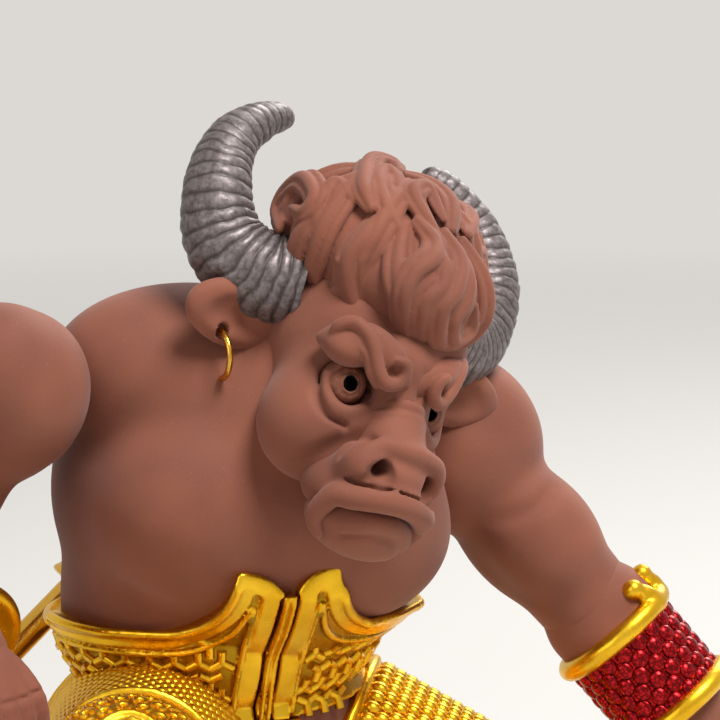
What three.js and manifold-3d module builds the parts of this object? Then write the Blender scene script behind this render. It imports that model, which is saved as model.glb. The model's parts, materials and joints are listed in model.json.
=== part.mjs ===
// A clay ox-headed warrior in gilt scale armour, one knee down and both hands on its knees.
// Millimetres, +Z up. The figure faces -Y and its own left is +X.
// The origin is on the ground, under the middle of the figure's box.

import * as THREE from 'three';
import { mergeVertices } from 'three/addons/utils/BufferGeometryUtils.js';
import Module from 'manifold-3d';

const wasm = await Module();
wasm.setup();

const rad = THREE.MathUtils.degToRad;
const vec = (x = 0, y = 0, z = 0) => new THREE.Vector3(x, y, z);

// Clearances and fineness
const JOINT_GAP = 0.3;          // between two pieces that touch
const RING_GAP = 0.35;          // round the staff in its rings
const LARGE_SIDES = 14;
const BALL_SIDES = 12;
const LIMB_SIDES = 10;
const SMALL_SIDES = 8;
const RINGS_PER_SIDE = 0.6;
const FINE_SIDES = 6;
const DOME_RINGS = 2;           // rings in the rounded end of a limb
const MERGE_DISTANCE = 1e-4;
const FAR = 160;                // a cutting block this wide passes the whole figure
const TRUNK_REACH = 40;         // and this wide passes the trunk

// Stance, from the sole of the right boot up
const ANKLE_HEIGHT = 7;
const SHIN_LENGTH = 28.2;
const THIGH_LENGTH = 41;
const HIP_SPACING = 20;
const HIP_LIFT = 1.5;           // the right hip is higher than the left
const RIGHT_SHIN_HEADING = vec(2, -3, 28);
const RIGHT_THIGH_HEADING = vec(15, 34, -7.4);
const LEFT_THIGH_HEADING = vec(33, -18.5, 0);
const LEFT_SHIN_HEADING = vec(-17.4, 21.8, 0);
const LEFT_ANKLE_HEIGHT = 11.7;
const KNEE_GUARD_RADIUS = 10.3;
const KNEE_GUARD_BACK = 3;      // the guard's edge lies this far behind the knee

// Legs
const HIP_RADIUS = 11;
const KNEE_RADIUS = 8;
const CALF_RADIUS = 7.2;
const ANKLE_RADIUS = 5;
const CALF_AT = 0.35;           // share of the shin above its thickest place
const KNEE_FOLD = 0.8;          // the shin is this much slimmer where it meets the thigh
const GREAVE_WALL = 1.4;
const GREAVE_LENGTH = 15;
const GREAVE_FROM_KNEE = 8.5;
const HEEL_RADIUS = 5.4;
const TOE_RADIUS = 4.9;
const HEEL_HEIGHT = 4.2;
const TOE_HEIGHT = 3.4;
const HEEL_BACK = 3;
const FOOT_LENGTH = 17;
const BOOT_TOP_RADIUS = 6.6;
const BOOT_TOP_RISE = 4.9;
const BOOT_HEADING = vec(-4, -20, 0);
const LEFT_BOOT_HEADING = vec(-3, 8, 0);
const LEFT_FOOT_LENGTH = 13;

// Trunk, from the middle of the hips
const RIB_FROM_HIPS = vec(-0.7, -8, 31.5);
const RIB_LEAN = 30;            // degrees the chest leans forward
const RIB_TILT = 11.6;          // degrees the right shoulder is lifted
const RIB_RADII = vec(22.6, 16, 20);
const BELLY_FROM_HIPS = vec(-2.2, -2, 20);
const BELLY_RADII = vec(18.8, 15, 15);
const PELVIS_FROM_HIPS = vec(-1.6, 0, 4);
const PELVIS_RADII = vec(18, 14.5, 15);
const HUMP_FROM_RIBS = vec(-8, 6, 11.5);
const HUMP_RADII = vec(19, 11, 11.5);
const PEC_FROM_RIBS = vec(10, -7.2, 3.5);
const PEC_RADII = vec(10.9, 8.6, 9.8);
const LAT_FROM_RIBS = vec(15, 5, 1);
const LAT_RADII = vec(7, 9, 11.5);
const BLADE_FROM_RIBS = vec(10.5, 10.4, 3);
const BLADE_RADII = vec(8, 5.6, 10);
const WAIST_RISE = 13.5;
const CLAY_WALL = 4;
const WAIST_BORE_RADII = vec(11, 8, 12);
const VENT_RADIUS = 4.2;
const LEFT_SHOULDER = vec(23.5, 5.5, 8.5);
const RIGHT_SHOULDER = vec(-32, 2, 10.5);

// Arms
const DELTOID_RADIUS = 9.2;
const UPPER_ARM_LENGTH = 24;
const FOREARM_LENGTH = 19.5;
const PALM_LENGTH = 6;
const BICEPS_RADIUS = 7.8;
const BICEPS_AT = 0.3;          // share of the upper arm above it
const ELBOW_RADIUS = 5.9;
const FOREARM_RADIUS = 6.6;
const FOREARM_AT = 0.35;        // share of the forearm above its thickest place
const ELBOW_FOLD = 0.4;
const WRIST_RADIUS = 5;
const RIGHT_UPPER_HEADING = vec(-10.2, 9, -18.5);
const RIGHT_FOREARM_HEADING = vec(2.8, -23.2, -11.7);
const RIGHT_PALM_HEADING = vec(5, -10, -8);
const LEFT_ARM_HEADING = vec(56.6, -33, -75.5);
const LEFT_PALM_HEADING = vec(1, -1, -10);
const PALM_RADIUS = 4.6;
const PALM_TAPER = 0.9;
const PALM_START = 1;
const FINGER_RADIUS = 1.5;
const FINGER_TAPER = 0.3;
const FINGER_LENGTH = 7.5;
const FINGER_SPACING = 2.5;
const FINGERS = 4;
const FINGER_STEPS = 3;
const LONGEST_FINGER = 1.4;     // counted from the thumb side
const FINGER_LOSS = 0.12;       // each next finger is shorter by this share
const KNUCKLE_RISE = 1.6;
const LEFT_FINGER_DROP = 3;
const RIGHT_FINGER_DROP = 4;
// Where a finger's points lie: share of the row's width, of the palm and of the finger, and its drop
const FINGER_POINTS = [
  { wide: 0.8, palm: 0.7, along: 0, rise: KNUCKLE_RISE, drop: 0 },
  { wide: 1, palm: 1, along: 0.4, rise: KNUCKLE_RISE, drop: 0.2 },
  { wide: 1.1, palm: 1, along: 0.75, rise: 0.2, drop: 0.6 },
  { wide: 1.1, palm: 1, along: 0.9, rise: 0, drop: 1 },
];
const THUMB_ROOT = vec(-2.8, 1.5, 0);
const THUMB_KNUCKLE = vec(-5.5, 4.5, -0.6);
const THUMB_TIP = vec(-6, 8.5, 0);  // it drops half as far as the fingers

// Bracers
const BRACER_FROM_ELBOW = 5.2;
const BRACER_LENGTH = 11;
const BRACER_RADIUS = 7.2;
const RIM_WIDTH = 2.4;
const RIM_RADIUS = 8.1;
const RIM_BEVEL = 0.6;

// Head, in its own frame: x to its left, y to the back, z to the crown
const HEAD_FROM_HIPS = vec(7.5, -21, 49.75);
const HEAD_TURN = 9.5;          // degrees to its left
const HEAD_TILT = 22.4;         // degrees the left ear is lowered
const HEAD_NOD = 9.5;           // degrees nose down
const FACE_FROM_HIPS = vec(5.3, -20.85, 49.75);
const FACE_TURN = 18.5;         // the face is turned further than the crown
const NECK_RADIUS = 12;
const NECK_ROOT = vec(-1, 2, 12);
const NECK_TOP = vec(-1, 8, -3);
const SKULL_PLACE = vec(0, 1, 1.5);
const SKULL_RADII = vec(11.8, 12.2, 11.5);
const CHEEK_RADIUS = 6.9;
const CHEEK_PLACE = vec(3.9, -5.2, -6.5);
const EYE_RADIUS = 2.6;
const EYE_PLACE = vec(6.2, -8.2, -2);
const BRIDGE_PLACE = vec(0, -9.5, -4.5);
const BRIDGE_RADII = vec(4.6, 6.5, 5);
const NOSE_PLACE = vec(0, -14.4, -8.6);
const NOSE_RADII = vec(6.4, 4.6, 3.9);
const LIP_PLACE = vec(0.4, -12.9, -12.5);
const LIP_RADII = vec(7.8, 6.1, 3);
const JAW_PLACE = vec(0.8, -12.2, -15.3);
const JAW_RADII = vec(6.8, 5.6, 4.1);
const BROW_RADIUS = 2.1;
const BROW_TAPER = 0.4;
const BROW_PATH = [vec(1.8, -11.6, 0.8), vec(4.6, -11, 2.2), vec(7.6, -8.8, 3.6), vec(9.6, -6, 2.8)];
const HAIR_PLACE = vec(-1.5, 3, 11.5);
const HAIR_RADII = vec(11.1, 10.1, 8.4);
const FRINGE_PLACE = vec(-0.6, -4.2, 9.4);
const FRINGE_RADII = vec(7.6, 7, 6.2);
const MANE_PLACE = vec(-1, 9, 3);
const MANE_RADII = vec(9, 7, 10);
const LOCK_RADIUS = 1.6;
const LOCK_TAPER = 0.6;
const LOCK_STEPS = 6;
const LOCK_PATHS = [
  [vec(-10.5, 0, 15.5), vec(-12.4, 0.8, 12), vec(-11.8, 0.6, 7.2)],
  [vec(-8.2, -3.4, 16), vec(-10.4, -3.6, 11.5), vec(-8.4, -3.6, 6.2)],
  [vec(-6.2, -4.8, 16), vec(-7.4, -6.4, 10.5), vec(-4.4, -7.6, 4.6)],
  [vec(-4.3, -5.1, 16.3), vec(-4.2, -9.4, 11.8), vec(-1.9, -9.2, 4.6)],
  [vec(-2.2, -5.8, 16), vec(-1.6, -10.9, 11.6), vec(0.5, -9.4, 4.4)],
  [vec(-0.6, -5.4, 16.5), vec(0.2, -10.9, 11), vec(3.4, -8.8, 5)],
  [vec(1.5, -5.2, 16.2), vec(3.4, -9, 11.5), vec(4.6, -7.6, 5.4)],
  [vec(3.4, -3, 16.6), vec(7.8, -4.8, 11.5), vec(7.6, -4, 5)],
  [vec(-8.7, -3.3, 15.5), vec(-8.4, 0, 17.6), vec(-4.2, 4.8, 20)],
  [vec(-3.2, -5, 16.4), vec(-5, -2.2, 18.4), vec(-2.4, -1.2, 19.2)],
  [vec(0.4, -5, 17), vec(1.2, 1, 19.6), vec(-2.4, 5.6, 20)],
  [vec(2.6, -4, 16.6), vec(4.9, 2.2, 18.2), vec(2, 7.6, 18.4)],
  [vec(5, -2.6, 15.4), vec(8.2, 3, 15.2), vec(5, 9, 16)],
  [vec(7.6, -2, 12), vec(9.7, 4, 11.6), vec(6.6, 10.4, 13)],
];
const NAPE_LOCKS = 13;          // swept round the back of the crown
const NAPE_TURNS = [-48, 228];  // degrees, from the left side round to the right
const NAPE_BEND = 22;
const NAPE_SWING = 2.1;
const NAPE_REACH = 9.5;
const NAPE_PROFILE = [[0.3, 0.95], [0.98, 0.3], [0.98, -0.4], [0.8, -0.8]];

// Horns
const HORN_BASE_RADIUS = 5.1;
const HORN_TIP_RADIUS = 1.5;
const HORN_RIBS = 12;
const HORN_RIB_HEIGHT = 0.35;
const HORN_SWELL = 1.3;         // above 1 the horn stays stout for longer
const HORN_PATH = [
  vec(9.5, 3.5, 5), vec(13.5, 5.2, 4.2), vec(17.6, 8, 6), vec(19.4, 11, 11),
  vec(17.8, 14.6, 16), vec(13.6, 17.2, 19.6), vec(9.6, 18.8, 21),
];

// Ears and the earring
const EAR_HALF_WIDTH = 4.3;
const EAR_THICKNESS = 0.25;     // share of its width
const EAR_STEPS = 7;
const EAR_WIDEST_AT = 0.44;     // share of its length
const EAR_NARROWING = 3.03;     // how fast it narrows to both ends
const EAR_TIP = 0.05;
const EAR_PATH = [vec(9.5, 3, 0.6), vec(13, 3.4, -1.2), vec(17, 3.6, -2), vec(20.8, 3.2, -1.2)];
const PIERCING_PLACE = vec(-16.4, 3.6, -2.9);
const PIERCING_HEADING = vec(-0.1, 1, 0);
const PIERCING_RADIUS = 0.85;
const HOOP_RADIUS = 2.7;
const HOOP_WIRE = 0.32;
const HOOP_STEPS = 20;
const HOOP_OPENING = 16;        // degrees left open at the foot of the hoop

// Corset and skirt, heights above the hips
const CORSET_WALL = 1.8;
const CORSET_MIDDLE = -2.2;     // the waist is twisted a little to the right
const CORSET_RIM = 19.4;
const CORSET_TIP = 27.4;
const TIP_PLACE = 6;            // each tip beside the middle
const RIM_DIP = 12.5;           // the rim is lowest this far beside the middle
const RIM_EASE = 1;             // where the rim and the tip's curves run out
const TIP_EASE = 0.05;
const TIP_BULGE = vec(2.4, 27.2, 0);
const CORSET_FOOT = 8;
const CORSET_SIDE_FOOT = 12;
const STILE_WIDTH = 1.9;
const STILE_TOP = 24.6;
const STILE_WALL = 2.5;
const ARCH = 0.5;               // an arched top's height as a share of its half width
const BACK_PLATE_TOP = 29;
const BACK_PLATE_HALF_WIDTH = 14;
const SKIRT_FROM_HIPS = vec(0, 1, -5);
const SKIRT_RADII = vec(20.5, 18.5, 20);
const SKIRT_WALL = 2.2;
const SKIRT_FOOT = -10;
const SKIRT_ROWS = 11;
const SKIRT_ROW_FOOT = -8.2;
const SKIRT_ROW_PITCH = 1.75;
const SKIRT_ROW_HEIGHT = 1.2;
const SKIRT_ROW_RELIEF = 0.5;
const SKIRT_START = 2;          // its front edges lie behind the middle of the hips
const FLAP_WIDTH = 10;
const FLAP_FOOT = -12;
const FLAP_FRONT = 18;
const FLAP_WALL = 2;
const FLAP_BACK = 7;            // it ends this far in front of the middle, clear of the vent
const TASSET_WALL = 3;
const TASSET_KNEE_WALL = 1;
const TASSET_START = 2;
const TASSET_END = 31.5;
const TASSET_EDGE = -3;         // its side edges lie this far below the thigh's middle

// Staff and its rings, distances along the staff
const STAFF_RADIUS = 1.65;
const STAFF_FROM_HIPS = vec(-17.8, 12.5, 16.35);
const STAFF_HEADING = vec(0.73, -0.06, 0.69);
const STAFF_BELOW = 26;
const STAFF_ABOVE = 43;
const FERRULE_LENGTH = 4;
const FINIAL_RADIUS = 3.2;
const FINIAL_LENGTH = 11;
const FINIAL_PROFILE = [        // shares of its radius and of its length
  [0, 0], [0.8, 0], [0.8, 0.14], [0.55, 0.22], [1, 0.42], [1, 0.6], [0.55, 0.82], [0, 1],
];
const COLLAR_RADIUS = 2.9;
const COLLAR_LENGTH = 3;
const RING_WIDTH = 3;
const RING_RADIUS = 3.4;
const LUG_RADIUS = 1.5;
const LUG_REACH = 7;
const LUG_HEADING = vec(0.2, -1, -0.1);
const LOWER_RING_AT = 5;
const UPPER_RING_AT = 16;

// Finishes
const CLAY = { color: 0x9a6350, roughness: 0.82, metalness: 0 };
const GILT = { color: 0xd9a51e, roughness: 0.3, metalness: 0.9 };
const LACQUER = { color: 0xb1121a, roughness: 0.22, metalness: 0.4 };
const HORN_GLAZE = { color: 0x6f6668, roughness: 0.42, metalness: 0.5 };
const EYE_CLAY = { color: 0x3b211b, roughness: 0.35, metalness: 0 };
const BRASS = { color: 0xcf9a2c, roughness: 0.22, metalness: 1 };

// A solid from a closed three.js geometry, and back again
function toSolid(geometry) {
  const bare = geometry.clone();
  bare.deleteAttribute('normal');
  bare.deleteAttribute('uv');
  const merged = mergeVertices(bare, MERGE_DISTANCE);
  const corners = merged.index.array;
  const faces = [];
  for (let i = 0; i < corners.length; i += 3) {
    const [a, b, c] = corners.slice(i, i + 3);
    if (a !== b && b !== c && c !== a) faces.push(a, b, c);
  }
  if (enclosed(merged.attributes.position, faces) < 0) faces.reverse();
  return new wasm.Manifold(new wasm.Mesh({
    numProp: 3,
    vertProperties: new Float32Array(merged.attributes.position.array),
    triVerts: new Uint32Array(faces),
  }));
}

// The volume inside a closed surface, negative where its faces point inwards
function enclosed(position, faces) {
  const [a, b, c] = [vec(), vec(), vec()];
  let volume = 0;
  for (let i = 0; i < faces.length; i += 3) {
    a.fromBufferAttribute(position, faces[i]);
    b.fromBufferAttribute(position, faces[i + 1]);
    c.fromBufferAttribute(position, faces[i + 2]);
    volume += a.dot(b.cross(c)) / 6;
  }
  return volume;
}

function toGeometry(solid) {
  const mesh = solid.getMesh();
  const geometry = new THREE.BufferGeometry();
  geometry.setAttribute('position', new THREE.BufferAttribute(mesh.vertProperties, 3));
  geometry.setIndex(new THREE.BufferAttribute(mesh.triVerts, 1));
  geometry.computeVertexNormals();
  return geometry;
}

// A form is a function of how far it is grown outwards, so that a neighbour
// can be cut by it with a clearance.
const joined = (...forms) => (grow = 0) => forms.map((form) => form(grow)).reduce((a, b) => a.add(b));
const shared = (...forms) => (grow = 0) => forms.map((form) => form(grow)).reduce((a, b) => a.intersect(b));
const thicker = (form, wall) => (grow = 0) => form(wall + grow);
const carved = (form, ...cutters) => (grow = 0) =>
  cutters.reduce((solid, cutter) => solid.subtract(cutter(-grow)), form(grow));

// An ellipsoid in a frame
function ball(frame, centre, radii, sides = BALL_SIDES) {
  return (grow = 0) => {
    const geometry = new THREE.SphereGeometry(1, sides, Math.round(sides * RINGS_PER_SIDE));
    geometry.rotateX(Math.PI / 2);
    geometry.scale(radii.x + grow, radii.y + grow, radii.z + grow);
    geometry.translate(centre.x, centre.y, centre.z);
    return toSolid(geometry.applyMatrix4(frame));
  };
}

const roundBall = (frame, centre, radius, sides) => ball(frame, centre, vec(radius, radius, radius), sides);

// A tapered limb with round ends, between two points of the figure
function limb(start, end, startRadius, endRadius, sides = LIMB_SIDES) {
  return (grow = 0) => {
    const length = start.distanceTo(end);
    const profile = [];
    for (let i = 0; i <= DOME_RINGS; i += 1) {
      const turn = (i / DOME_RINGS) * Math.PI / 2;
      const radius = startRadius + grow;
      profile.push(new THREE.Vector2(radius * Math.sin(turn), -radius * Math.cos(turn)));
    }
    for (let i = DOME_RINGS; i >= 0; i -= 1) {
      const turn = (i / DOME_RINGS) * Math.PI / 2;
      const radius = endRadius + grow;
      profile.push(new THREE.Vector2(radius * Math.sin(turn), length + radius * Math.cos(turn)));
    }
    return toSolid(alongAxis(new THREE.LatheGeometry(profile, sides), start, end));
  };
}

// A turned piece on the line from start to end; its profile is [radius, distance] pairs
function turned(start, end, profile, sides = LIMB_SIDES) {
  return (grow = 0) => {
    const first = profile[0][1];
    const last = profile[profile.length - 1][1];
    const points = profile.map(([radius, along]) => {
      const push = along === first ? -grow : 0;
      const pull = along === last ? grow : 0;
      return new THREE.Vector2(radius === 0 ? 0 : radius + grow, along + push + pull);
    });
    return toSolid(alongAxis(new THREE.LatheGeometry(points, sides), start, end));
  };
}

const rod = (start, end, radius, sides) => {
  const length = start.distanceTo(end);
  return turned(start, end, [[0, 0], [radius, 0], [radius, length], [0, length]], sides);
};

function alongAxis(geometry, start, end) {
  const heading = end.clone().sub(start).normalize();
  geometry.applyQuaternion(new THREE.Quaternion().setFromUnitVectors(vec(0, 1, 0), heading));
  return geometry.translate(start.x, start.y, start.z);
}

// A form drawn along a smooth curve. thickness(t) is its half width across the curve,
// flat is its depth as a share of that width, and broad is the way it is wide.
function drawn(points, thickness, { steps, sides = SMALL_SIDES, flat = 1, broad = vec(0, 0, 1) }) {
  return (grow = 0) => {
    const curve = new THREE.CatmullRomCurve3(points);
    const profile = [new THREE.Vector2(0, 0)];
    for (let i = 0; i <= steps; i += 1) profile.push(new THREE.Vector2(1, i));
    profile.push(new THREE.Vector2(0, steps));
    const geometry = new THREE.LatheGeometry(profile, sides);
    const position = geometry.attributes.position;
    const frames = framesAlong(curve, steps, broad);
    const spot = vec();
    for (let i = 0; i < position.count; i += 1) {
      spot.fromBufferAttribute(position, i);
      const { centre, ahead, across, thin } = frames[Math.round(spot.y)];
      const half = thickness(spot.y / steps);
      const push = (spot.y > steps - 0.5 ? grow : 0) - (spot.y < 0.5 ? grow : 0);
      const out = centre.clone().addScaledVector(ahead, push);
      if (Math.hypot(spot.x, spot.z) > 0.5) {
        out.addScaledVector(across, spot.x * (half + grow));
        out.addScaledVector(thin, spot.z * (half * flat + grow));
      }
      position.setXYZ(i, out.x, out.y, out.z);
    }
    return toSolid(geometry);
  };
}

// Steady cross directions along a curve, the first one nearest to broad
function framesAlong(curve, steps, broad) {
  const frames = [];
  let across = broad;
  for (let i = 0; i <= steps; i += 1) {
    const ahead = curve.getTangentAt(i / steps);
    across = across.clone().addScaledVector(ahead, -across.dot(ahead)).normalize();
    frames.push({ centre: curve.getPointAt(i / steps), ahead, across, thin: across.clone().cross(ahead) });
  }
  return frames;
}

// A flat outline in x and z, pushed from one y to another
function slab(shape, near, far) {
  return (grow = 0) => {
    const depth = far - near + 2 * grow;
    const geometry = new THREE.ExtrudeGeometry(shape(grow), { depth, bevelEnabled: false });
    geometry.rotateX(Math.PI / 2);
    geometry.translate(CORSET_MIDDLE, far + grow, 0);
    return toSolid(geometry.applyMatrix4(trunk));
  };
}

// A straight-sided block from its lowest corner to its highest, in a frame
function block(frame, low, high) {
  return (grow = 0) => {
    const size = high.clone().sub(low).addScalar(2 * grow);
    const centre = high.clone().add(low).multiplyScalar(0.5);
    const geometry = new THREE.BoxGeometry(size.x, size.y, size.z);
    geometry.translate(centre.x, centre.y, centre.z);
    return toSolid(geometry.applyMatrix4(frame));
  };
}

const step = (from, heading, length) => from.clone().addScaledVector(heading.clone().normalize(), length);
const mirrored = (place, side) => vec(place.x * side, place.y, place.z);

// The point at a given distance and height, along a level heading
function reachTo(from, heading, length, height) {
  const drop = from.z - height;
  return step(from, heading, Math.sqrt(length * length - drop * drop)).setZ(height);
}

function turnedFrame(place, turn, tilt, lean) {
  const euler = new THREE.Euler(rad(lean), rad(tilt), rad(turn), 'ZYX');
  return new THREE.Matrix4().makeRotationFromEuler(euler).setPosition(place);
}

// A frame whose y runs from one point to another and whose z is as high as it can be
function frameAlong(from, to, up = vec(0, 0, 1)) {
  const along = to.clone().sub(from).normalize();
  const side = along.clone().cross(up).normalize();
  const rise = side.clone().cross(along);
  return new THREE.Matrix4().makeBasis(side, along, rise).setPosition(from);
}

// The skeleton
const ground = new THREE.Matrix4();
const rightAnkle = vec(0, 0, ANKLE_HEIGHT);
const rightKnee = step(rightAnkle, RIGHT_SHIN_HEADING, SHIN_LENGTH);
const rightHip = step(rightKnee, RIGHT_THIGH_HEADING, THIGH_LENGTH);
const leftHip = rightHip.clone().add(vec(HIP_SPACING, 0, -HIP_LIFT));
const leftKnee = reachTo(leftHip, LEFT_THIGH_HEADING, THIGH_LENGTH, KNEE_GUARD_RADIUS);
const leftAnkle = reachTo(leftKnee, LEFT_SHIN_HEADING, SHIN_LENGTH, LEFT_ANKLE_HEIGHT);
const hips = rightHip.clone().add(leftHip).multiplyScalar(0.5);
const trunk = new THREE.Matrix4().setPosition(hips);
const ribs = turnedFrame(hips.clone().add(RIB_FROM_HIPS), 0, RIB_TILT, RIB_LEAN);
const head = turnedFrame(hips.clone().add(HEAD_FROM_HIPS), HEAD_TURN, HEAD_TILT, HEAD_NOD);
const face = turnedFrame(hips.clone().add(FACE_FROM_HIPS), FACE_TURN, HEAD_TILT, HEAD_NOD);
const inHead = (place, side = 1) => mirrored(place, side).applyMatrix4(head);
const inFace = (place, side = 1) => mirrored(place, side).applyMatrix4(face);
const LEFT = 1;
const RIGHT = -1;
const SIDES = { left: LEFT, right: RIGHT };

// Seating: each piece is cut clear of every piece that was seated before it
const figure = new THREE.Group();
const seated = [];

function seat(name, finish, form) {
  const whole = form();
  const inTheWay = seated.filter((reach) => boxesMeet(whole.boundingBox(), reach.boundingBox()));
  const solid = largestBody(inTheWay.reduce((rest, reach) => rest.subtract(reach), whole));
  const mesh = new THREE.Mesh(toGeometry(solid), new THREE.MeshStandardMaterial(finish));
  mesh.name = name;
  figure.add(mesh);
  seated.push(form(JOINT_GAP));
}

function boxesMeet(a, b) {
  return [0, 1, 2].every((axis) => a.min[axis] < b.max[axis] && b.min[axis] < a.max[axis]);
}

// A cut can leave a crumb beside the piece, and the crumb is brushed off
function largestBody(solid) {
  return solid.decompose().reduce((best, body) => (body.volume() > best.volume() ? body : best));
}

// Staff, carried slantwise behind the back
const staffPlace = hips.clone().add(STAFF_FROM_HIPS);
const onStaff = (along) => step(staffPlace, STAFF_HEADING, along);
const staffRod = (from, to, radius) => rod(onStaff(from), onStaff(to), radius, SMALL_SIDES);

function makeStaff() {
  const collarFoot = UPPER_RING_AT + RING_WIDTH / 2 + JOINT_GAP;
  const ferruleTop = -STAFF_BELOW - JOINT_GAP;
  seat('staff_shaft', GILT, staffRod(-STAFF_BELOW, STAFF_ABOVE, STAFF_RADIUS));
  seat('staff_ferrule', GILT, staffRod(ferruleTop - FERRULE_LENGTH, ferruleTop, STAFF_RADIUS));
  seat('staff_collar', GILT, staffRod(collarFoot, collarFoot + COLLAR_LENGTH, COLLAR_RADIUS));
  seat('staff_finial', GILT, finial(STAFF_ABOVE + JOINT_GAP));
}

function finial(foot) {
  const profile = FINIAL_PROFILE.map(([wide, long]) => [wide * FINIAL_RADIUS, long * FINIAL_LENGTH]);
  return turned(onStaff(foot), onStaff(foot + FINIAL_LENGTH), profile, SMALL_SIDES);
}

// The trunk: a hollow chest and a hollow pelvis that meet at the waist
const ribForm = ball(ribs, vec(), RIB_RADII, LARGE_SIDES);
const bellyForm = ball(trunk, BELLY_FROM_HIPS, BELLY_RADII, LARGE_SIDES);
const pelvisForm = ball(trunk, PELVIS_FROM_HIPS, PELVIS_RADII, LARGE_SIDES);
const belowWaist = block(ground, vec(-FAR, -FAR, -FAR), vec(FAR, FAR, hips.z + WAIST_RISE));
const aboveWaist = block(ground, vec(-FAR, -FAR, hips.z + WAIST_RISE), vec(FAR, FAR, FAR));

function makeTrunk() {
  const hump = ball(ribs, HUMP_FROM_RIBS, HUMP_RADII);
  const neck = limb(NECK_ROOT.clone().applyMatrix4(ribs), inHead(NECK_TOP), NECK_RADIUS, NECK_RADIUS);
  const chestHollow = joined(
    thicker(ribForm, -CLAY_WALL),
    ball(trunk, vec(BELLY_FROM_HIPS.x, BELLY_FROM_HIPS.y, WAIST_RISE), WAIST_BORE_RADII),
  );
  const muscles = [LEFT, RIGHT].flatMap((side) => [
    ball(ribs, mirrored(PEC_FROM_RIBS, side), PEC_RADII),
    ball(ribs, mirrored(LAT_FROM_RIBS, side), LAT_RADII),
    ball(ribs, mirrored(BLADE_FROM_RIBS, side), BLADE_RADII),
  ]);
  const chest = carved(joined(ribForm, bellyForm, hump, neck, ...muscles), belowWaist);
  seatHollow('chest', CLAY, chest, chestHollow);
  const ventFoot = vec(0, 0, -FAR).add(hips);
  const vent = rod(ventFoot, hips, VENT_RADIUS);
  const pelvisHollow = joined(
    thicker(pelvisForm, -CLAY_WALL),
    ball(trunk, vec(BELLY_FROM_HIPS.x, BELLY_FROM_HIPS.y, WAIST_RISE), WAIST_BORE_RADII),
    vent,
  );
  seatHollow('pelvis', CLAY, carved(pelvisForm, aboveWaist), pelvisHollow);
}

function seatHollow(name, finish, form, hollow) {
  seat(name, finish, (grow = 0) => (grow ? form(grow) : form().subtract(hollow())));
}

// The head and what is luted on to it
function makeHead() {
  const skull = ball(head, SKULL_PLACE, SKULL_RADII);
  const cheeks = [LEFT, RIGHT].map((side) => roundBall(face, mirrored(CHEEK_PLACE, side), CHEEK_RADIUS));
  const bridge = ball(face, BRIDGE_PLACE, BRIDGE_RADII, SMALL_SIDES);
  const nose = ball(face, NOSE_PLACE, NOSE_RADII, SMALL_SIDES);
  const lip = ball(face, LIP_PLACE, LIP_RADII, SMALL_SIDES);
  Object.entries(SIDES).forEach(([word, side]) => {
    seat(`eye_${word}`, EYE_CLAY, roundBall(face, mirrored(EYE_PLACE, side), EYE_RADIUS, SMALL_SIDES));
  });
  seat('head', CLAY, joined(skull, ...cheeks));
  seat('muzzle', CLAY, joined(bridge, nose, lip));
  seat('lower_jaw', CLAY, ball(face, JAW_PLACE, JAW_RADII, SMALL_SIDES));
  Object.entries(SIDES).forEach(([word, side]) => {
    seat(`horn_${word}`, HORN_GLAZE, hornForm(side));
    seat(`brow_${word}`, CLAY, browForm(side));
    seatEar(word, side);
  });
  seat('forelock', CLAY, forelockForm());
  seat('mane', CLAY, ball(head, MANE_PLACE, MANE_RADII));
}

function hornForm(side) {
  const path = HORN_PATH.map((place) => inHead(place, side));
  const steps = 2 * HORN_RIBS;
  const taper = (t) => THREE.MathUtils.lerp(HORN_BASE_RADIUS, HORN_TIP_RADIUS, t ** HORN_SWELL);
  const rib = (t) => (Math.round(t * steps) % 2 ? HORN_RIB_HEIGHT : 0);
  return drawn(path, (t) => taper(t) - rib(t), { steps, sides: SMALL_SIDES, broad: axisOf(head, 2) });
}

function browForm(side) {
  const path = BROW_PATH.map((place) => inFace(place, side));
  return drawn(path, (t) => BROW_RADIUS * (1 - BROW_TAPER * t), { steps: LOCK_STEPS, sides: FINE_SIDES });
}

// A leaf-shaped ear; the right one is pierced and carries the hoop
function seatEar(word, side) {
  const path = EAR_PATH.map((place) => inHead(place, side));
  const fullness = (t) => Math.max(EAR_TIP, 1 - EAR_NARROWING * (t - EAR_WIDEST_AT) ** 2);
  const leaf = (t) => EAR_HALF_WIDTH * Math.sqrt(fullness(t));
  const form = drawn(path, leaf, {
    steps: EAR_STEPS, sides: SMALL_SIDES, flat: EAR_THICKNESS, broad: axisOf(head, 2),
  });
  const pierced = side === RIGHT ? carved(form, piercing()) : form;
  seat(`ear_${word}`, CLAY, pierced);
  if (side === RIGHT) seat('earring', BRASS, hoopForm());
}

function piercing() {
  const centre = inHead(PIERCING_PLACE);
  const half = EAR_HALF_WIDTH;
  return rod(step(centre, PIERCING_HEADING, -half), step(centre, PIERCING_HEADING, half), PIERCING_RADIUS);
}

// The hoop hangs plumb, with its wire through the middle of the piercing
function hoopForm() {
  const through = inHead(PIERCING_PLACE);
  const ahead = PIERCING_HEADING.clone().normalize();
  const centre = through.clone().add(vec(0, 0, -HOOP_RADIUS));
  const points = [];
  for (let i = 0; i <= HOOP_STEPS; i += 1) {
    const turn = rad(HOOP_OPENING / 2 + (i / HOOP_STEPS) * (360 - HOOP_OPENING));
    const out = centre.clone().addScaledVector(ahead, HOOP_RADIUS * Math.sin(turn));
    points.push(out.add(vec(0, 0, -HOOP_RADIUS * Math.cos(turn))));
  }
  const broad = vec(0, 0, 1).cross(ahead);
  return drawn(points, () => HOOP_WIRE, { steps: HOOP_STEPS, sides: FINE_SIDES, broad });
}

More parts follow.
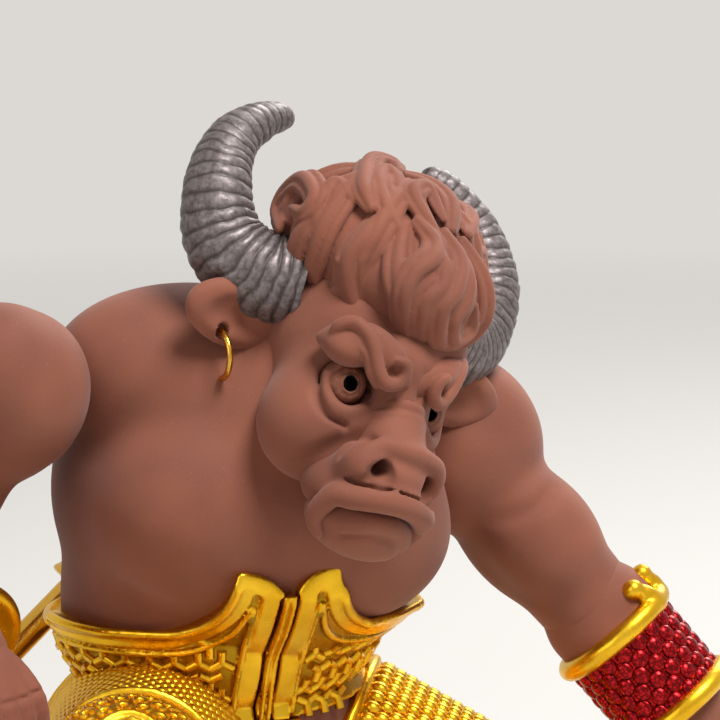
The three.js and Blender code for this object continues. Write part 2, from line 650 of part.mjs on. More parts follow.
// The hair is two masses with locks laid on them, swept forward over the brow and down the nape
function forelockForm() {
  const masses = [
    ball(head, HAIR_PLACE, HAIR_RADII),
    ball(head, FRINGE_PLACE, FRINGE_RADII),
  ];
  const paths = [...LOCK_PATHS, ...napePaths()];
  const locks = paths.map((path) => {
    const points = path.map((place) => inHead(onHair(place)));
    return drawn(points, lockThickness, { steps: LOCK_STEPS, sides: FINE_SIDES });
  });
  return joined(...masses, ...locks);
}

// A place moved straight out from the middle of the nearer mass, on to its surface
function onHair(place) {
  const masses = [[HAIR_PLACE, HAIR_RADII], [FRINGE_PLACE, FRINGE_RADII]];
  const spots = masses.map(([middle, radii]) => {
    const gap = place.clone().sub(middle);
    const far = gap.clone().divide(radii).length();
    return { far, spot: middle.clone().addScaledVector(gap, 1 / far) };
  });
  spots.sort((a, b) => a.far - b.far);
  return spots[0].spot;
}

function napePaths() {
  const paths = [];
  for (let i = 0; i < NAPE_LOCKS; i += 1) {
    const turn = rad(NAPE_TURNS[0] + ((NAPE_TURNS[1] - NAPE_TURNS[0]) * i) / (NAPE_LOCKS - 1));
    const bend = rad(NAPE_BEND * Math.sin(NAPE_SWING * i));
    paths.push(NAPE_PROFILE.map(([reach, rise]) => {
      const heading = turn + bend * reach;
      const out = vec(Math.cos(heading) * reach * NAPE_REACH, Math.sin(heading) * reach * NAPE_REACH, 0);
      return out.add(HAIR_PLACE).add(vec(0, 0, rise * HAIR_RADII.z));
    }));
  }
  return paths;
}

const lockThickness = (t) => LOCK_RADIUS * (1 - LOCK_TAPER * t ** 3);

// Arms
function seatArm(word, shoulder, upperHeading, forearmHeading) {
  const top = shoulder.clone().applyMatrix4(ribs);
  const elbow = step(top, upperHeading, UPPER_ARM_LENGTH);
  const wrist = step(elbow, forearmHeading, FOREARM_LENGTH);
  const deltoid = roundBall(ground, top, DELTOID_RADIUS);
  const bicepsTop = step(top, upperHeading, UPPER_ARM_LENGTH * BICEPS_AT);
  const biceps = limb(bicepsTop, elbow, BICEPS_RADIUS, ELBOW_RADIUS);
  seat(`upper_arm_${word}`, CLAY, joined(deltoid, biceps));
  const forearmBelly = step(elbow, forearmHeading, FOREARM_LENGTH * FOREARM_AT);
  seat(`forearm_${word}`, CLAY, joined(
    limb(elbow, forearmBelly, ELBOW_RADIUS - ELBOW_FOLD, FOREARM_RADIUS),
    limb(forearmBelly, wrist, FOREARM_RADIUS, WRIST_RADIUS),
  ));
  seatBracer(word, elbow, wrist);
  return wrist;
}

function seatBracer(word, elbow, wrist) {
  const heading = wrist.clone().sub(elbow);
  const at = (along) => step(elbow, heading, along);
  const start = BRACER_FROM_ELBOW;
  const end = start + BRACER_LENGTH;
  const half = RIM_WIDTH / 2;
  const edge = RIM_RADIUS - RIM_BEVEL;
  const profile = [[0, 0], [edge, 0], [RIM_RADIUS, half], [edge, RIM_WIDTH], [0, RIM_WIDTH]];
  const rim = (middle) => turned(at(middle - half), at(middle + half), profile);
  seat(`bracer_rim_upper_${word}`, GILT, rim(start));
  seat(`bracer_rim_lower_${word}`, GILT, rim(end));
  seat(`bracer_sleeve_${word}`, LACQUER, rod(at(start + half), at(end - half), BRACER_RADIUS, LIMB_SIDES));
}

// A hand laid over a knee: a palm, four fingers that bend down and a thumb beside them
function seatHand(word, side, wrist, heading, drop) {
  const frame = frameAlong(wrist, step(wrist, heading, 1));
  const place = (spot) => mirrored(spot, side).applyMatrix4(frame);
  const palmStart = place(vec(0, PALM_START, 0));
  const palmEnd = place(vec(0, PALM_LENGTH, 0));
  const palm = limb(palmStart, palmEnd, PALM_RADIUS, PALM_RADIUS * PALM_TAPER, SMALL_SIDES);
  const fingers = [];
  for (let i = 0; i < FINGERS; i += 1) {
    const x = (i - (FINGERS - 1) / 2) * FINGER_SPACING;
    const length = FINGER_LENGTH * (1 - FINGER_LOSS * Math.abs(i - LONGEST_FINGER));
    fingers.push(finger(FINGER_POINTS.map((point) => place(vec(
      x * point.wide,
      PALM_LENGTH * point.palm + length * point.along,
      point.rise - drop * point.drop,
    )))));
  }
  const thumbTip = THUMB_TIP.clone().setZ(-drop / 2);
  const thumb = finger([THUMB_ROOT, THUMB_KNUCKLE, thumbTip].map(place));
  seat(`hand_${word}`, CLAY, joined(palm, ...fingers, thumb));
}

const fingerThickness = (t) => FINGER_RADIUS * (1 - FINGER_TAPER * t * t);
const finger = (points) => drawn(points, fingerThickness, { steps: FINGER_STEPS, sides: FINE_SIDES });

const axisOf = (frame, axis) => vec().setFromMatrixColumn(frame, axis);

// Legs, with the armour that each one wears
function seatLeg(word, hip, knee, ankle, footHeading, footLength) {
  const thigh = limb(hip, knee, HIP_RADIUS, KNEE_RADIUS);
  const calf = step(knee, ankle.clone().sub(knee), SHIN_LENGTH * CALF_AT);
  const shin = joined(
    limb(knee, calf, KNEE_RADIUS - KNEE_FOLD, CALF_RADIUS),
    limb(calf, ankle, CALF_RADIUS, ANKLE_RADIUS),
  );
  seat(`thigh_${word}`, CLAY, thigh);
  seat(`shin_${word}`, CLAY, shin);
  const thighWay = knee.clone().sub(hip).normalize();
  const shinWay = ankle.clone().sub(knee).normalize();
  const front = thighWay.clone().sub(shinWay).normalize();
  const kneeFrame = frameAlong(knee, knee.clone().add(front), shinWay);
  const inFront = block(kneeFrame, vec(-FAR, -KNEE_GUARD_BACK, -FAR), vec(FAR, FAR, FAR));
  seat(`knee_guard_${word}`, GILT, shared(roundBall(ground, knee, KNEE_GUARD_RADIUS), inFront));
  seatBoot(word, ankle, shinWay, footHeading, footLength);
  const shinFrame = frameAlong(knee, ankle, front);
  const greaveBox = block(
    shinFrame, vec(-FAR, GREAVE_FROM_KNEE, 0), vec(FAR, GREAVE_FROM_KNEE + GREAVE_LENGTH, FAR),
  );
  seat(`greave_${word}`, GILT, shared(thicker(shin, GREAVE_WALL), greaveBox));
  const thighFrame = frameAlong(hip, knee);
  const tassetBox = block(thighFrame, vec(-FAR, TASSET_START, TASSET_EDGE), vec(FAR, TASSET_END, FAR));
  const wrap = limb(hip, knee, HIP_RADIUS + TASSET_WALL, KNEE_RADIUS + TASSET_KNEE_WALL);
  return shared(wrap, tassetBox);
}

function seatBoot(word, ankle, shinWay, heading, length) {
  const heel = step(ankle, heading, -HEEL_BACK).setZ(HEEL_HEIGHT);
  const lifted = ankle.z > ANKLE_HEIGHT;
  const start = lifted ? ankle : heel;
  const toe = step(start, heading, length).setZ(TOE_HEIGHT);
  const foot = limb(start, toe, HEEL_RADIUS, TOE_RADIUS);
  const top = limb(ankle, step(ankle, shinWay, -BOOT_TOP_RISE), BOOT_TOP_RADIUS, BOOT_TOP_RADIUS);
  const overGround = block(ground, vec(-FAR, -FAR, 0), vec(FAR, FAR, FAR));
  seat(`boot_${word}`, GILT, shared(joined(foot, top), overGround));
}

// The corset: two front panels, a stile between them and a back with a raised plate
const trunkForm = joined(ribForm, bellyForm, pelvisForm);

function frontPanel(side) {
  return (grow) => {
    const shape = new THREE.Shape();
    const middle = STILE_WIDTH / 2 - grow;
    const foot = -grow;
    const x = (distance) => side * distance;
    shape.moveTo(x(middle), CORSET_FOOT + foot);
    shape.quadraticCurveTo(x(RIM_DIP), CORSET_FOOT + foot, x(TRUNK_REACH), CORSET_SIDE_FOOT + foot);
    shape.lineTo(x(TRUNK_REACH), CORSET_RIM + grow);
    shape.lineTo(x(RIM_DIP + RIM_EASE), CORSET_RIM + grow);
    shape.quadraticCurveTo(x(TIP_PLACE + TIP_EASE), CORSET_RIM + grow, x(TIP_PLACE), CORSET_TIP + grow);
    shape.quadraticCurveTo(x(TIP_BULGE.x), TIP_BULGE.y + grow, x(middle), STILE_TOP + grow);
    shape.closePath();
    return shape;
  };
}

function upright(halfWidth, foot, top) {
  return (grow) => {
    const half = halfWidth + grow;
    const shape = new THREE.Shape();
    shape.moveTo(-half, foot - grow);
    shape.lineTo(half, foot - grow);
    shape.lineTo(half, top - halfWidth * ARCH + grow);
    shape.quadraticCurveTo(half, top + grow, 0, top + grow);
    shape.quadraticCurveTo(-half, top + grow, -half, top - halfWidth * ARCH + grow);
    shape.closePath();
    return shape;
  };
}

const band = (foot, top) => (grow) => {
  const shape = new THREE.Shape();
  shape.moveTo(-TRUNK_REACH, foot - grow);
  shape.lineTo(TRUNK_REACH, foot - grow);
  shape.lineTo(TRUNK_REACH, top + grow);
  shape.lineTo(-TRUNK_REACH, top + grow);
  shape.closePath();
  return shape;
};

function makeCorset() {
  const wear = thicker(trunkForm, CORSET_WALL);
  const stile = slab(upright(STILE_WIDTH / 2, CORSET_FOOT, STILE_TOP), -FAR, 0);
  seat('corset_stile', GILT, shared(thicker(trunkForm, STILE_WALL), stile));
  Object.entries(SIDES).forEach(([word, side]) => {
    seat(`corset_front_${word}`, GILT, shared(wear, slab(frontPanel(side), -FAR, 0)));
  });
  const back = joined(
    slab(band(CORSET_SIDE_FOOT, CORSET_RIM), 0, FAR),
    slab(upright(BACK_PLATE_HALF_WIDTH, CORSET_SIDE_FOOT, BACK_PLATE_TOP), 0, FAR),
  );
  seat('corset_back', GILT, shared(wear, back));
}

// The skirt: a back skirt, a front flap and a tasset over each thigh
function makeSkirt(tassets) {
  const outer = ball(trunk, SKIRT_FROM_HIPS, SKIRT_RADII, LARGE_SIDES);
  const tongue = upright(FLAP_WIDTH / 2, FLAP_FOOT, CORSET_FOOT);
  const plateBack = FLAP_WALL - FLAP_FRONT;
  const plate = block(trunk, vec(-FLAP_WIDTH, -FLAP_FRONT, FLAP_FOOT), vec(FLAP_WIDTH, plateBack, 0));
  const wornFront = joined(thicker(pelvisForm, FLAP_WALL), plate);
  seat('front_flap', GILT, shared(wornFront, slab(tongue, -FAR, -FLAP_BACK)));
  Object.entries(tassets).forEach(([word, form]) => seat(`tasset_${word}`, GILT, form));
  const rows = [];
  for (let i = 0; i < SKIRT_ROWS; i += 1) {
    const foot = SKIRT_ROW_FOOT + i * SKIRT_ROW_PITCH;
    rows.push(slab(band(foot, foot + SKIRT_ROW_HEIGHT), SKIRT_START, FAR));
  }
  const ribbed = joined(thicker(outer, -SKIRT_ROW_RELIEF), shared(outer, joined(...rows)));
  const cover = shared(ribbed, slab(band(SKIRT_FOOT, CORSET_SIDE_FOOT), SKIRT_START, FAR));
  seat('back_skirt', GILT, carved(cover, thicker(outer, -SKIRT_WALL)));
}

// Two rings on the back plate carry the staff, each on its own lug
function seatRing(word, along) {
  const half = RING_WIDTH / 2;
  const bore = STAFF_RADIUS + RING_GAP;
  const outside = staffRod(along - half, along + half, RING_RADIUS);
  const lugRoot = onStaff(along);
  const lug = limb(lugRoot, step(lugRoot, LUG_HEADING, LUG_REACH), LUG_RADIUS, LUG_RADIUS, SMALL_SIDES);
  const hole = staffRod(along - FAR / 2, along + FAR / 2, bore);
  seat(`staff_ring_${word}`, GILT, (grow = 0) => joined(outside, lug)(grow).subtract(hole()));
}

makeStaff();
makeTrunk();
makeHead();
const leftTasset = seatLeg('left', leftHip, leftKnee, leftAnkle, LEFT_BOOT_HEADING, LEFT_FOOT_LENGTH);
const rightTasset = seatLeg('right', rightHip, rightKnee, rightAnkle, BOOT_HEADING, FOOT_LENGTH);
const leftArm = seatArm('left', LEFT_SHOULDER, LEFT_ARM_HEADING, LEFT_ARM_HEADING);
const rightArm = seatArm('right', RIGHT_SHOULDER, RIGHT_UPPER_HEADING, RIGHT_FOREARM_HEADING);
seatHand('left', LEFT, leftArm, LEFT_PALM_HEADING, LEFT_FINGER_DROP);
seatHand('right', RIGHT, rightArm, RIGHT_PALM_HEADING, RIGHT_FINGER_DROP);
makeCorset();
makeSkirt({ left: leftTasset, right: rightTasset });
seatRing('lower', LOWER_RING_AT);
seatRing('upper', UPPER_RING_AT);

// The finished figure stands on the ground with its box centred on the origin
const span = new THREE.Box3().setFromObject(figure);
const middle = span.getCenter(vec());
figure.position.set(-middle.x, -middle.y, -span.min.z);

export default figure;
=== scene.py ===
"""A kneeling ox-headed clay warrior in gilt scale armour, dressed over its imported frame."""
import json
import math
import bpy
import numpy as np
from mathutils import Matrix, Vector


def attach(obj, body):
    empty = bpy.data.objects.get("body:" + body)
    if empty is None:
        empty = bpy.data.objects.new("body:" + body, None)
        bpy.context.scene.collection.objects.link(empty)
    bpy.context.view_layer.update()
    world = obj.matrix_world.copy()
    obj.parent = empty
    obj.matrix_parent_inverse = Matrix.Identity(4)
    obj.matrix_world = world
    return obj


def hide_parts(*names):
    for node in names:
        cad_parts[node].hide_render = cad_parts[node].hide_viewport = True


bl_info = {
    "name": "Kneeling ox warrior",
    "version": (1, 0, 0),
    "blender": (4, 5, 0),
    "location": "View3D > Sidebar > Warrior",
    "description": "Clay body, gilt armour, ribbed horns and slung staff of a table figurine",
    "category": "Object",
}

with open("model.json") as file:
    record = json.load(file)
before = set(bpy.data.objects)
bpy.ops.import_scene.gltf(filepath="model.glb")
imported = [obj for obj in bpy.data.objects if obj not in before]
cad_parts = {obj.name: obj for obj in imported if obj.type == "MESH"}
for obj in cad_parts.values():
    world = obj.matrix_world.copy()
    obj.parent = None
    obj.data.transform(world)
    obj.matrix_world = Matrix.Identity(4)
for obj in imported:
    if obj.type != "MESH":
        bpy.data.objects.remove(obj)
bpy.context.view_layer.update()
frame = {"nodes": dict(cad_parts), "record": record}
MM = 0.001
SIDES = {"left": 1, "right": -1}


# Places, in mm
def turning(turn=0.0, tilt=0.0, lean=0.0):
    """Axes turned about z, then tilted about y, then leant about x."""
    turned = Matrix.Rotation(math.radians(turn), 3, "Z") @ Matrix.Rotation(math.radians(tilt), 3, "Y")
    return np.array(turned @ Matrix.Rotation(math.radians(lean), 3, "X"))


class Frame:
    """A place and three axes (the columns) that a piece is measured from."""

    def __init__(self, origin, axes=None):
        self.origin = np.array(origin, float)
        self.axes = np.eye(3) if axes is None else np.array(axes, float)

    def at(self, x, y=None, z=None):
        place = np.array(x if y is None else (x, y, z), float)
        return self.origin + self.axes @ place

    def along(self, points, side=1):
        return [self.at(x * side, y, z) for x, y, z in points]


def unit(v):
    v = np.asarray(v, float)
    return v / np.linalg.norm(v)


def limb_frame(start, end, up=(0, 0, 1)):
    """z from start to end, y as near to up as it can be, x across."""
    z = unit(np.subtract(end, start))
    x = unit(np.cross(up, z))
    return Frame(start, np.column_stack([x, np.cross(z, x), z]))


def crossed(origin, x, y):
    """A frame from its x and y ways."""
    return Frame(origin, np.column_stack([x, y, np.cross(x, y)]))


def step(start, heading, length):
    return np.asarray(start, float) + unit(heading) * length


def reach(start, heading, length, height):
    drop = start[2] - height
    end = step(start, heading, math.sqrt(length * length - drop * drop))
    return np.array((end[0], end[1], height))


SHIN, THIGH, UPPER_ARM, FOREARM = 28.2, 41.0, 24.0, 19.5
RIGHT_ANKLE = np.array((-31.459, -17.834, 7.0))
RIGHT_KNEE = step(RIGHT_ANKLE, (2, -3, 28), SHIN)
RIGHT_HIP = step(RIGHT_KNEE, (15, 34, -7.4), THIGH)
LEFT_HIP = RIGHT_HIP + (20, 0, -1.5)
LEFT_KNEE = reach(LEFT_HIP, (33, -18.5, 0), THIGH, 10.3)
LEFT_ANKLE = reach(LEFT_KNEE, (-17.4, 21.8, 0), SHIN, 11.7)
HIPS = (RIGHT_HIP + LEFT_HIP) / 2
TRUNK = Frame(HIPS)
RIBS = Frame(HIPS + (-0.7, -8, 31.5), turning(0, 11.6, 30))
HEAD = Frame(HIPS + (7.5, -21, 49.75), turning(9.5, 22.4, 9.5))
FACE = Frame(HIPS + (5.3, -20.85, 49.75), turning(18.5, 22.4, 9.5))
LEGS = {"left": (LEFT_HIP, LEFT_KNEE, LEFT_ANKLE), "right": (RIGHT_HIP, RIGHT_KNEE, RIGHT_ANKLE)}
LEFT_ARM_WAY, LEFT_PALM_WAY = (56.6, -33, -75.5), (1, -1, -10)
RIGHT_UPPER_WAY, RIGHT_FORE_WAY, RIGHT_PALM_WAY = (-10.2, 9, -18.5), (2.8, -23.2, -11.7), (5, -10, -8)


def arm(shoulder, upper_way, fore_way):
    top = RIBS.at(shoulder)
    elbow = step(top, upper_way, UPPER_ARM)
    return top, elbow, step(elbow, fore_way, FOREARM)


ARMS = {
    "left": arm((23.5, 5.5, 8.5), LEFT_ARM_WAY, LEFT_ARM_WAY),
    "right": arm((-32, 2, 10.5), RIGHT_UPPER_WAY, RIGHT_FORE_WAY),
}
STAFF_FOOT = HIPS + (-17.8, 12.5, 16.35)
STAFF_WAY = (0.73, -0.06, 0.69)
STAFF_RADIUS, RING_BORE, STAFF_ROOM = 1.6, 2.0, 3.5
EAR_HOLE = HEAD.at(-16.4, 3.6, -2.9)
EAR_HOLE_WAY = unit((-0.1, 1, 0))
PANEL_EDGE = 1.1
TASSET_HIP, TASSET_KNEE = 13.1, 8.4
KNEE_GUARD = 9.55
SLEEVE = 6.7
CHEST_FOOT, PELVIS_TOP, SOLE = 13.6, 13.4, 0.02
# Grains of broad pieces, and of those that others cover, as multiples of the usual grain
BROAD, BOOT, COVERED, INNER, HIDDEN = 1.12, 1.15, 1.4, 1.5, 1.6


# Modelling in clay
def egg(place, centre, radii):
    """An ellipsoid: the two corners of its box, and its distance function."""
    middle = place.at(centre)
    radii = np.array(radii, float) * np.ones(3)
    half = np.sqrt(((place.axes * radii) ** 2).sum(1))

    def distance(x, y, z):
        gap = (x - middle[0], y - middle[1], z - middle[2])
        near = far = 0
        for axis in range(3):
            q = sum(gap[i] * np.float32(place.axes[i, axis]) for i in range(3)) / np.float32(radii[axis])
            near = near + q * q
            far = far + (q / np.float32(radii[axis])) ** 2
        near, far = np.sqrt(near), np.sqrt(far)
        return near * (near - 1) / np.maximum(far, 1e-6)

    return middle - half, middle + half, distance


def peg(start, end, thick, thin=None):
    """A round-ended limb that tapers from one thickness to another."""
    thin = thick if thin is None else thin
    start, end = np.asarray(start, float), np.asarray(end, float)
    way = end - start
    length = max(way @ way, 1e-9)
    most = max(thick, thin)

    def distance(x, y, z):
        gap = (x - start[0], y - start[1], z - start[2])
        t = np.clip((gap[0] * way[0] + gap[1] * way[1] + gap[2] * way[2]) / length, 0, 1)
        off = sum((gap[i] - t * way[i]) ** 2 for i in range(3))
        return np.sqrt(off) - (thick + (thin - thick) * t)

    return np.minimum(start, end) - most, np.maximum(start, end) + most, distance


def curve_through(points, steps):
    """Points on a smooth curve through the given ones."""
    p = np.array(points, float)
    p = np.vstack([2 * p[0] - p[1], p, 2 * p[-1] - p[-2]])
    spans = len(p) - 3
    out = []
    for k in range(steps + 1):
        u = spans * k / steps
        i = min(int(u), spans - 1)
        t = u - i
        a, b, c, d = p[i:i + 4]
        out.append(0.5 * (2 * b + (c - a) * t + (2 * a - 5 * b + 4 * c - d) * t * t
                          + (3 * b - a - 3 * c + d) * t ** 3))
    return np.array(out)


def strand(points, thickness, steps=None):
    """A rolled strand of clay along a curve; thickness is a number, or numbers along the strand."""
    steps = steps or 4 * (len(points) - 1)
    path = curve_through(points, steps)
    given = np.atleast_1d(thickness)
    thick = np.interp(np.linspace(0, 1, steps + 1), np.linspace(0, 1, max(len(given), 2)),
                      given if len(given) > 1 else np.repeat(given, 2))
    return [peg(path[i], path[i + 1], thick[i], thick[i + 1]) for i in range(steps)]


def circle(place, z, r, count=16):
    """A closed ring of points round a frame's z axis."""
    turns = [2 * math.pi * k / count for k in range(count + 1)]
    return [place.at(r * math.cos(turn), r * math.sin(turn), z) for turn in turns]


def swirl(centre, out, up, size, turns, thickness):
    """A coiled end of a strand, lying across the way out."""
    out = unit(out)
    up = unit(np.asarray(up, float) - out * (np.asarray(up, float) @ out))
    across = np.cross(up, out)
    points = []
    for k in range(int(10 * turns) + 1):
        turn = 2 * math.pi * k / 10
        r = size * (1 - 0.8 * k / (10 * turns))
        rise = 0.4 * thickness * k / (10 * turns)
        points.append(np.asarray(centre) + r * (math.cos(turn) * up + math.sin(turn) * across) + out * rise)
    return strand(points, (thickness, thickness * 0.9), len(points) - 1)


FAR = 9.0


class Clay:
    """Clay on a grid, which holds the distance to the surface in mm, negative inside."""

    def __init__(self, low, high, grain):
        self.grain = grain
        self.low = np.floor(np.asarray(low, float) / grain) * grain
        self.count = np.ceil((np.asarray(high, float) - self.low) / grain).astype(int) + 1
        self.depth = np.full(self.count, FAR, np.float32)

    def window(self, low, high, margin):
        a = np.clip(np.floor((low - margin - self.low) / self.grain).astype(int), 0, self.count - 1)
        b = np.clip(np.ceil((high + margin - self.low) / self.grain).astype(int) + 1, a + 1, self.count)
        part = tuple(slice(i, j) for i, j in zip(a, b))
        ticks = [(self.low[i] + self.grain * np.arange(a[i], b[i])).astype(np.float32) for i in range(3)]
        return part, (ticks[0][:, None, None], ticks[1][None, :, None], ticks[2][None, None, :])

    def gathered(self, forms, margin, knit=0.15):
        low = np.min([f[0] for f in forms], 0)
        high = np.max([f[1] for f in forms], 0)
        part, ticks = self.window(low, high, margin)
        if len(forms) == 1:
            return part, np.broadcast_to(forms[0][2](*ticks), self.depth[part].shape)
        lump = Clay.__new__(Clay)
        lump.grain = self.grain
        lump.low = self.low + self.grain * np.array([s.start for s in part])
        lump.count = np.array(self.depth[part].shape)
        lump.depth = np.full(lump.count, FAR, np.float32)
        for low, high, distance in forms:
            piece, marks = lump.window(low, high, margin)
            lump.depth[piece] = soft_min(lump.depth[piece], distance(*marks), knit)
        return part, lump.depth

    def add(self, *forms, blend=0.5, knit=0.15):
        forms = [f for group in forms for f in (group if isinstance(group, list) else [group])]
        part, depth = self.gathered(forms, blend + 1, knit)
        self.depth[part] = soft_min(self.depth[part], depth, blend)
        return self

    def cut(self, *forms, blend=0.3, knit=0.15):
        forms = [f for group in forms for f in (group if isinstance(group, list) else [group])]
        part, depth = self.gathered(forms, blend + 1, knit)
        self.depth[part] = -soft_min(-self.depth[part], depth, blend)
        return self

    def roll(self, points, thickness, steps=None, blend=0.5):
        """Adds a rolled strand."""
        return self.add(strand(points, thickness, steps), blend=blend)

    def score(self, points, thickness, steps=None, blend=0.3):
        """Cuts the groove that a strand would fill."""
        return self.cut(strand(points, thickness, steps), blend=blend)

    def keep(self, rule):
        """Keeps only what lies where rule(x, y, z) is negative."""
        _, ticks = self.window(self.low, self.low + self.grain * self.count, 0)
        self.depth = np.maximum(self.depth, rule(*ticks)).astype(np.float32)
        return self

    def skin(self):
        """The surface as corners and four-cornered faces."""
        d = self.depth
        for axis in range(3):
            for end in (0, -1):
                edge = [slice(None)] * 3
                edge[axis] = end
                d[tuple(edge)] = np.maximum(d[tuple(edge)], 0.1)
        inside = d < 0
        total = np.zeros(np.array(d.shape) - 1, np.uint8)
        corners = [(i, j, k) for i in (0, 1) for j in (0, 1) for k in (0, 1)]
        n = total.shape
        for i, j, k in corners:
            total += inside[i:i + n[0], j:j + n[1], k:k + n[2]]
        cells = np.argwhere((total > 0) & (total < 8))
        index = np.full(n, -1, np.int32)
        index[tuple(cells.T)] = np.arange(len(cells))
        value = {c: d[cells[:, 0] + c[0], cells[:, 1] + c[1], cells[:, 2] + c[2]] for c in corners}
        spot, hits = np.zeros((len(cells), 3)), np.zeros(len(cells))
        for a in corners:
            for axis in range(3):
                if a[axis]:
                    continue
                b = tuple(1 if i == axis else a[i] for i in range(3))
                cross = (value[a] < 0) != (value[b] < 0)
                t = value[a][cross] / (value[a][cross] - value[b][cross])
                spot[cross] += np.array(a)
                spot[cross, axis] += t
                hits[cross] += 1
        points = self.low + self.grain * (cells + spot / hits[:, None])
        faces = []
        for axis in range(3):
            b, c = (axis + 1) % 3, (axis + 2) % 3
            here = [slice(1, -1)] * 3
            here[axis] = slice(0, -1)
            there = list(here)
            there[axis] = slice(1, None)
            first, second = inside[tuple(here)], inside[tuple(there)]
            for flip, crossing in ((False, first & ~second), (True, ~first & second)):
                cell = np.argwhere(crossing)
                for i in range(3):
                    if i != axis:
                        cell[:, i] += 1
                ring = []
                for db, dc in ((1, 1), (0, 1), (0, 0), (1, 0)):
                    at = cell.copy()
                    at[:, b] -= db
                    at[:, c] -= dc
                    ring.append(index[tuple(at.T)])
                quad = np.stack(ring, 1)
                faces.append(quad[:, ::-1] if flip else quad)
        return points, np.vstack(faces)


def shared(*parts):
    """What lies inside all of several forms: the largest of their distances."""
    return np.maximum.reduce(np.broadcast_arrays(*parts))


def soft_min(a, b, blend):
    h = np.maximum(blend - np.abs(a - b), 0)
    return np.minimum(a, b) - h * h * (0.25 / max(blend, 1e-6))


def largest_only(points, faces):
    """Drops loose crumbs: keeps the body of faces with the most corners."""
    label = np.arange(len(points))
    while True:
        low = label[faces].min(1)
        new = label.copy()
        for k in range(4):
            np.minimum.at(new, faces[:, k], low)
        new = new[new]
        if (new == label).all():
            break
        label = new
    names, counts = np.unique(label, return_counts=True)
    keep = label == names[counts.argmax()]
    remap = np.cumsum(keep) - 1
    good = keep[faces[:, 0]]
    return points[keep], remap[faces[good]]


def smoothed(points, faces, rounds, share=0.5):
    """Eases each corner towards its neighbours, and says how deep it lies among them."""
    a = faces.ravel()
    b = np.roll(faces, -1, axis=1).ravel()
    degree = np.bincount(a, minlength=len(points)) + np.bincount(b, minlength=len(points))

    def mean(values):
        out = np.empty_like(values)
        for k in range(values.shape[1]):
            ahead = np.bincount(a, values[b, k], len(points))
            out[:, k] = (ahead + np.bincount(b, values[a, k], len(points))) / degree
        return out

    for _ in range(rounds):
        points = points + share * (mean(points) - points)
    side = np.cross(points[faces[:, 2]] - points[faces[:, 0]], points[faces[:, 3]] - points[faces[:, 1]])
    normal = np.empty_like(points)
    for k in range(3):
        normal[:, k] = sum(np.bincount(faces[:, i], side[:, k], len(points)) for i in range(4))
    normal /= np.maximum(np.linalg.norm(normal, axis=1), 1e-9)[:, None]
    wide = points
    for _ in range(4):
        wide = mean(wide)
    hollow = ((wide - points) * normal).sum(1)[:, None]
    return points, mean(mean(hollow))[:, 0]


def placed(name, data):
    """An object for some data, linked to the scene."""
    made = bpy.data.objects.new(name, data)
    bpy.context.scene.collection.objects.link(made)
    return made


def to_object(name, points, faces, finish, hollow):
    """A plain mesh object in metres, at the origin."""
    mesh = bpy.data.meshes.new(name)
    mesh.vertices.add(len(points))
    mesh.vertices.foreach_set("co", (np.asarray(points) * MM).astype(np.float32).ravel())
    width = faces.shape[1]
    mesh.loops.add(faces.size)
    mesh.loops.foreach_set("vertex_index", faces.astype(np.int32).ravel())
    mesh.polygons.add(len(faces))
    mesh.polygons.foreach_set("loop_start", np.arange(0, faces.size, width, dtype=np.int32))
    mesh.update(calc_edges=True)
    mesh.polygons.foreach_set("use_smooth", np.ones(len(faces), bool))
    mesh.attributes.new("hollow", "FLOAT", "POINT").data.foreach_set("value", hollow.astype(np.float32))
    mesh.materials.append(finish)
    return placed(name, mesh)


def fired(name, clay, slot, nodes, body="figure", rounds=1, painted_shade_mask=None):
    """Turns modelled clay into a finished piece that stands for its CAD nodes.

    The mask, given x, y and z, marks the ground under stamped relief and in the drilled pupils; there it
    counts as a deep crease, so it takes painted shade.
    """
    points, faces = largest_only(*clay.skin())
    points, hollow = smoothed(points, faces, rounds)
    # painted shade: the masked ground is raised to a deep crease, which the finishes darken
    if painted_shade_mask:
        hollow = np.where(painted_shade_mask(*points.T) & (hollow > -0.04), np.maximum(hollow, 0.15), hollow)
    made = to_object(name, points, faces, finish_of(slot), hollow)
    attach(made, body)
    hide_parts(*nodes)
    return made


# Finishes
def linear(code):
    """An sRGB hex colour as linear red, green, blue and alpha."""
    parts = [int(code[i:i + 2], 16) / 255 for i in (1, 3, 5)]
    return [c / 12.92 if c <= 0.04045 else ((c + 0.055) / 1.055) ** 2.4 for c in parts] + [1.0]


def add_node(tree, kind, settings=None, **inputs):
    """Adds a node: settings are its properties, inputs its socket values, or the sockets that feed them."""
    made = tree.nodes.new(kind)
    for key, value in (settings or {}).items():
        setattr(made, key, value)
    for key, value in inputs.items():
        key = key.replace("_", " ")
        socket = made.inputs[int(key[1:])] if key[1:].isdigit() else made.inputs[key]
        if isinstance(value, bpy.types.NodeSocket):
            tree.links.new(value, socket)
        else:
            socket.default_value = value
    return made


def new_finish(name, **constants):
    """A material with one shader; constants are set on its own sockets."""
    finish = bpy.data.materials.new(name)
    finish.use_nodes = True
    tree = finish.node_tree
    tree.nodes.clear()
    shader = add_node(tree, "ShaderNodeBsdfPrincipled", **constants)
    add_node(tree, "ShaderNodeOutputMaterial", Surface=shader.outputs[0])
    place = add_node(tree, "ShaderNodeTexCoord").outputs["Object"]
    return finish, tree, shader, place


def blend_colours(tree, share, low, high):
    mix = add_node(tree, "ShaderNodeMix", {"data_type": "RGBA"})
    tree.links.new(share, mix.inputs["Factor"])
    for slot, value in (("A", low), ("B", high)):
        socket = next(s for s in mix.inputs if s.name == slot and s.type == "RGBA")
        if isinstance(value, bpy.types.NodeSocket):
            tree.links.new(value, socket)
        else:
            socket.default_value = linear(value)
    return next(s for s in mix.outputs if s.type == "RGBA")


def grit(tree, place, size_mm, detail=3.0, rough=0.6):
    """Noise whose patches are about size_mm wide."""
    return add_node(tree, "ShaderNodeTexNoise", Vector=place, Scale=1000 / size_mm, Detail=detail,
                    Roughness=rough).outputs[0]


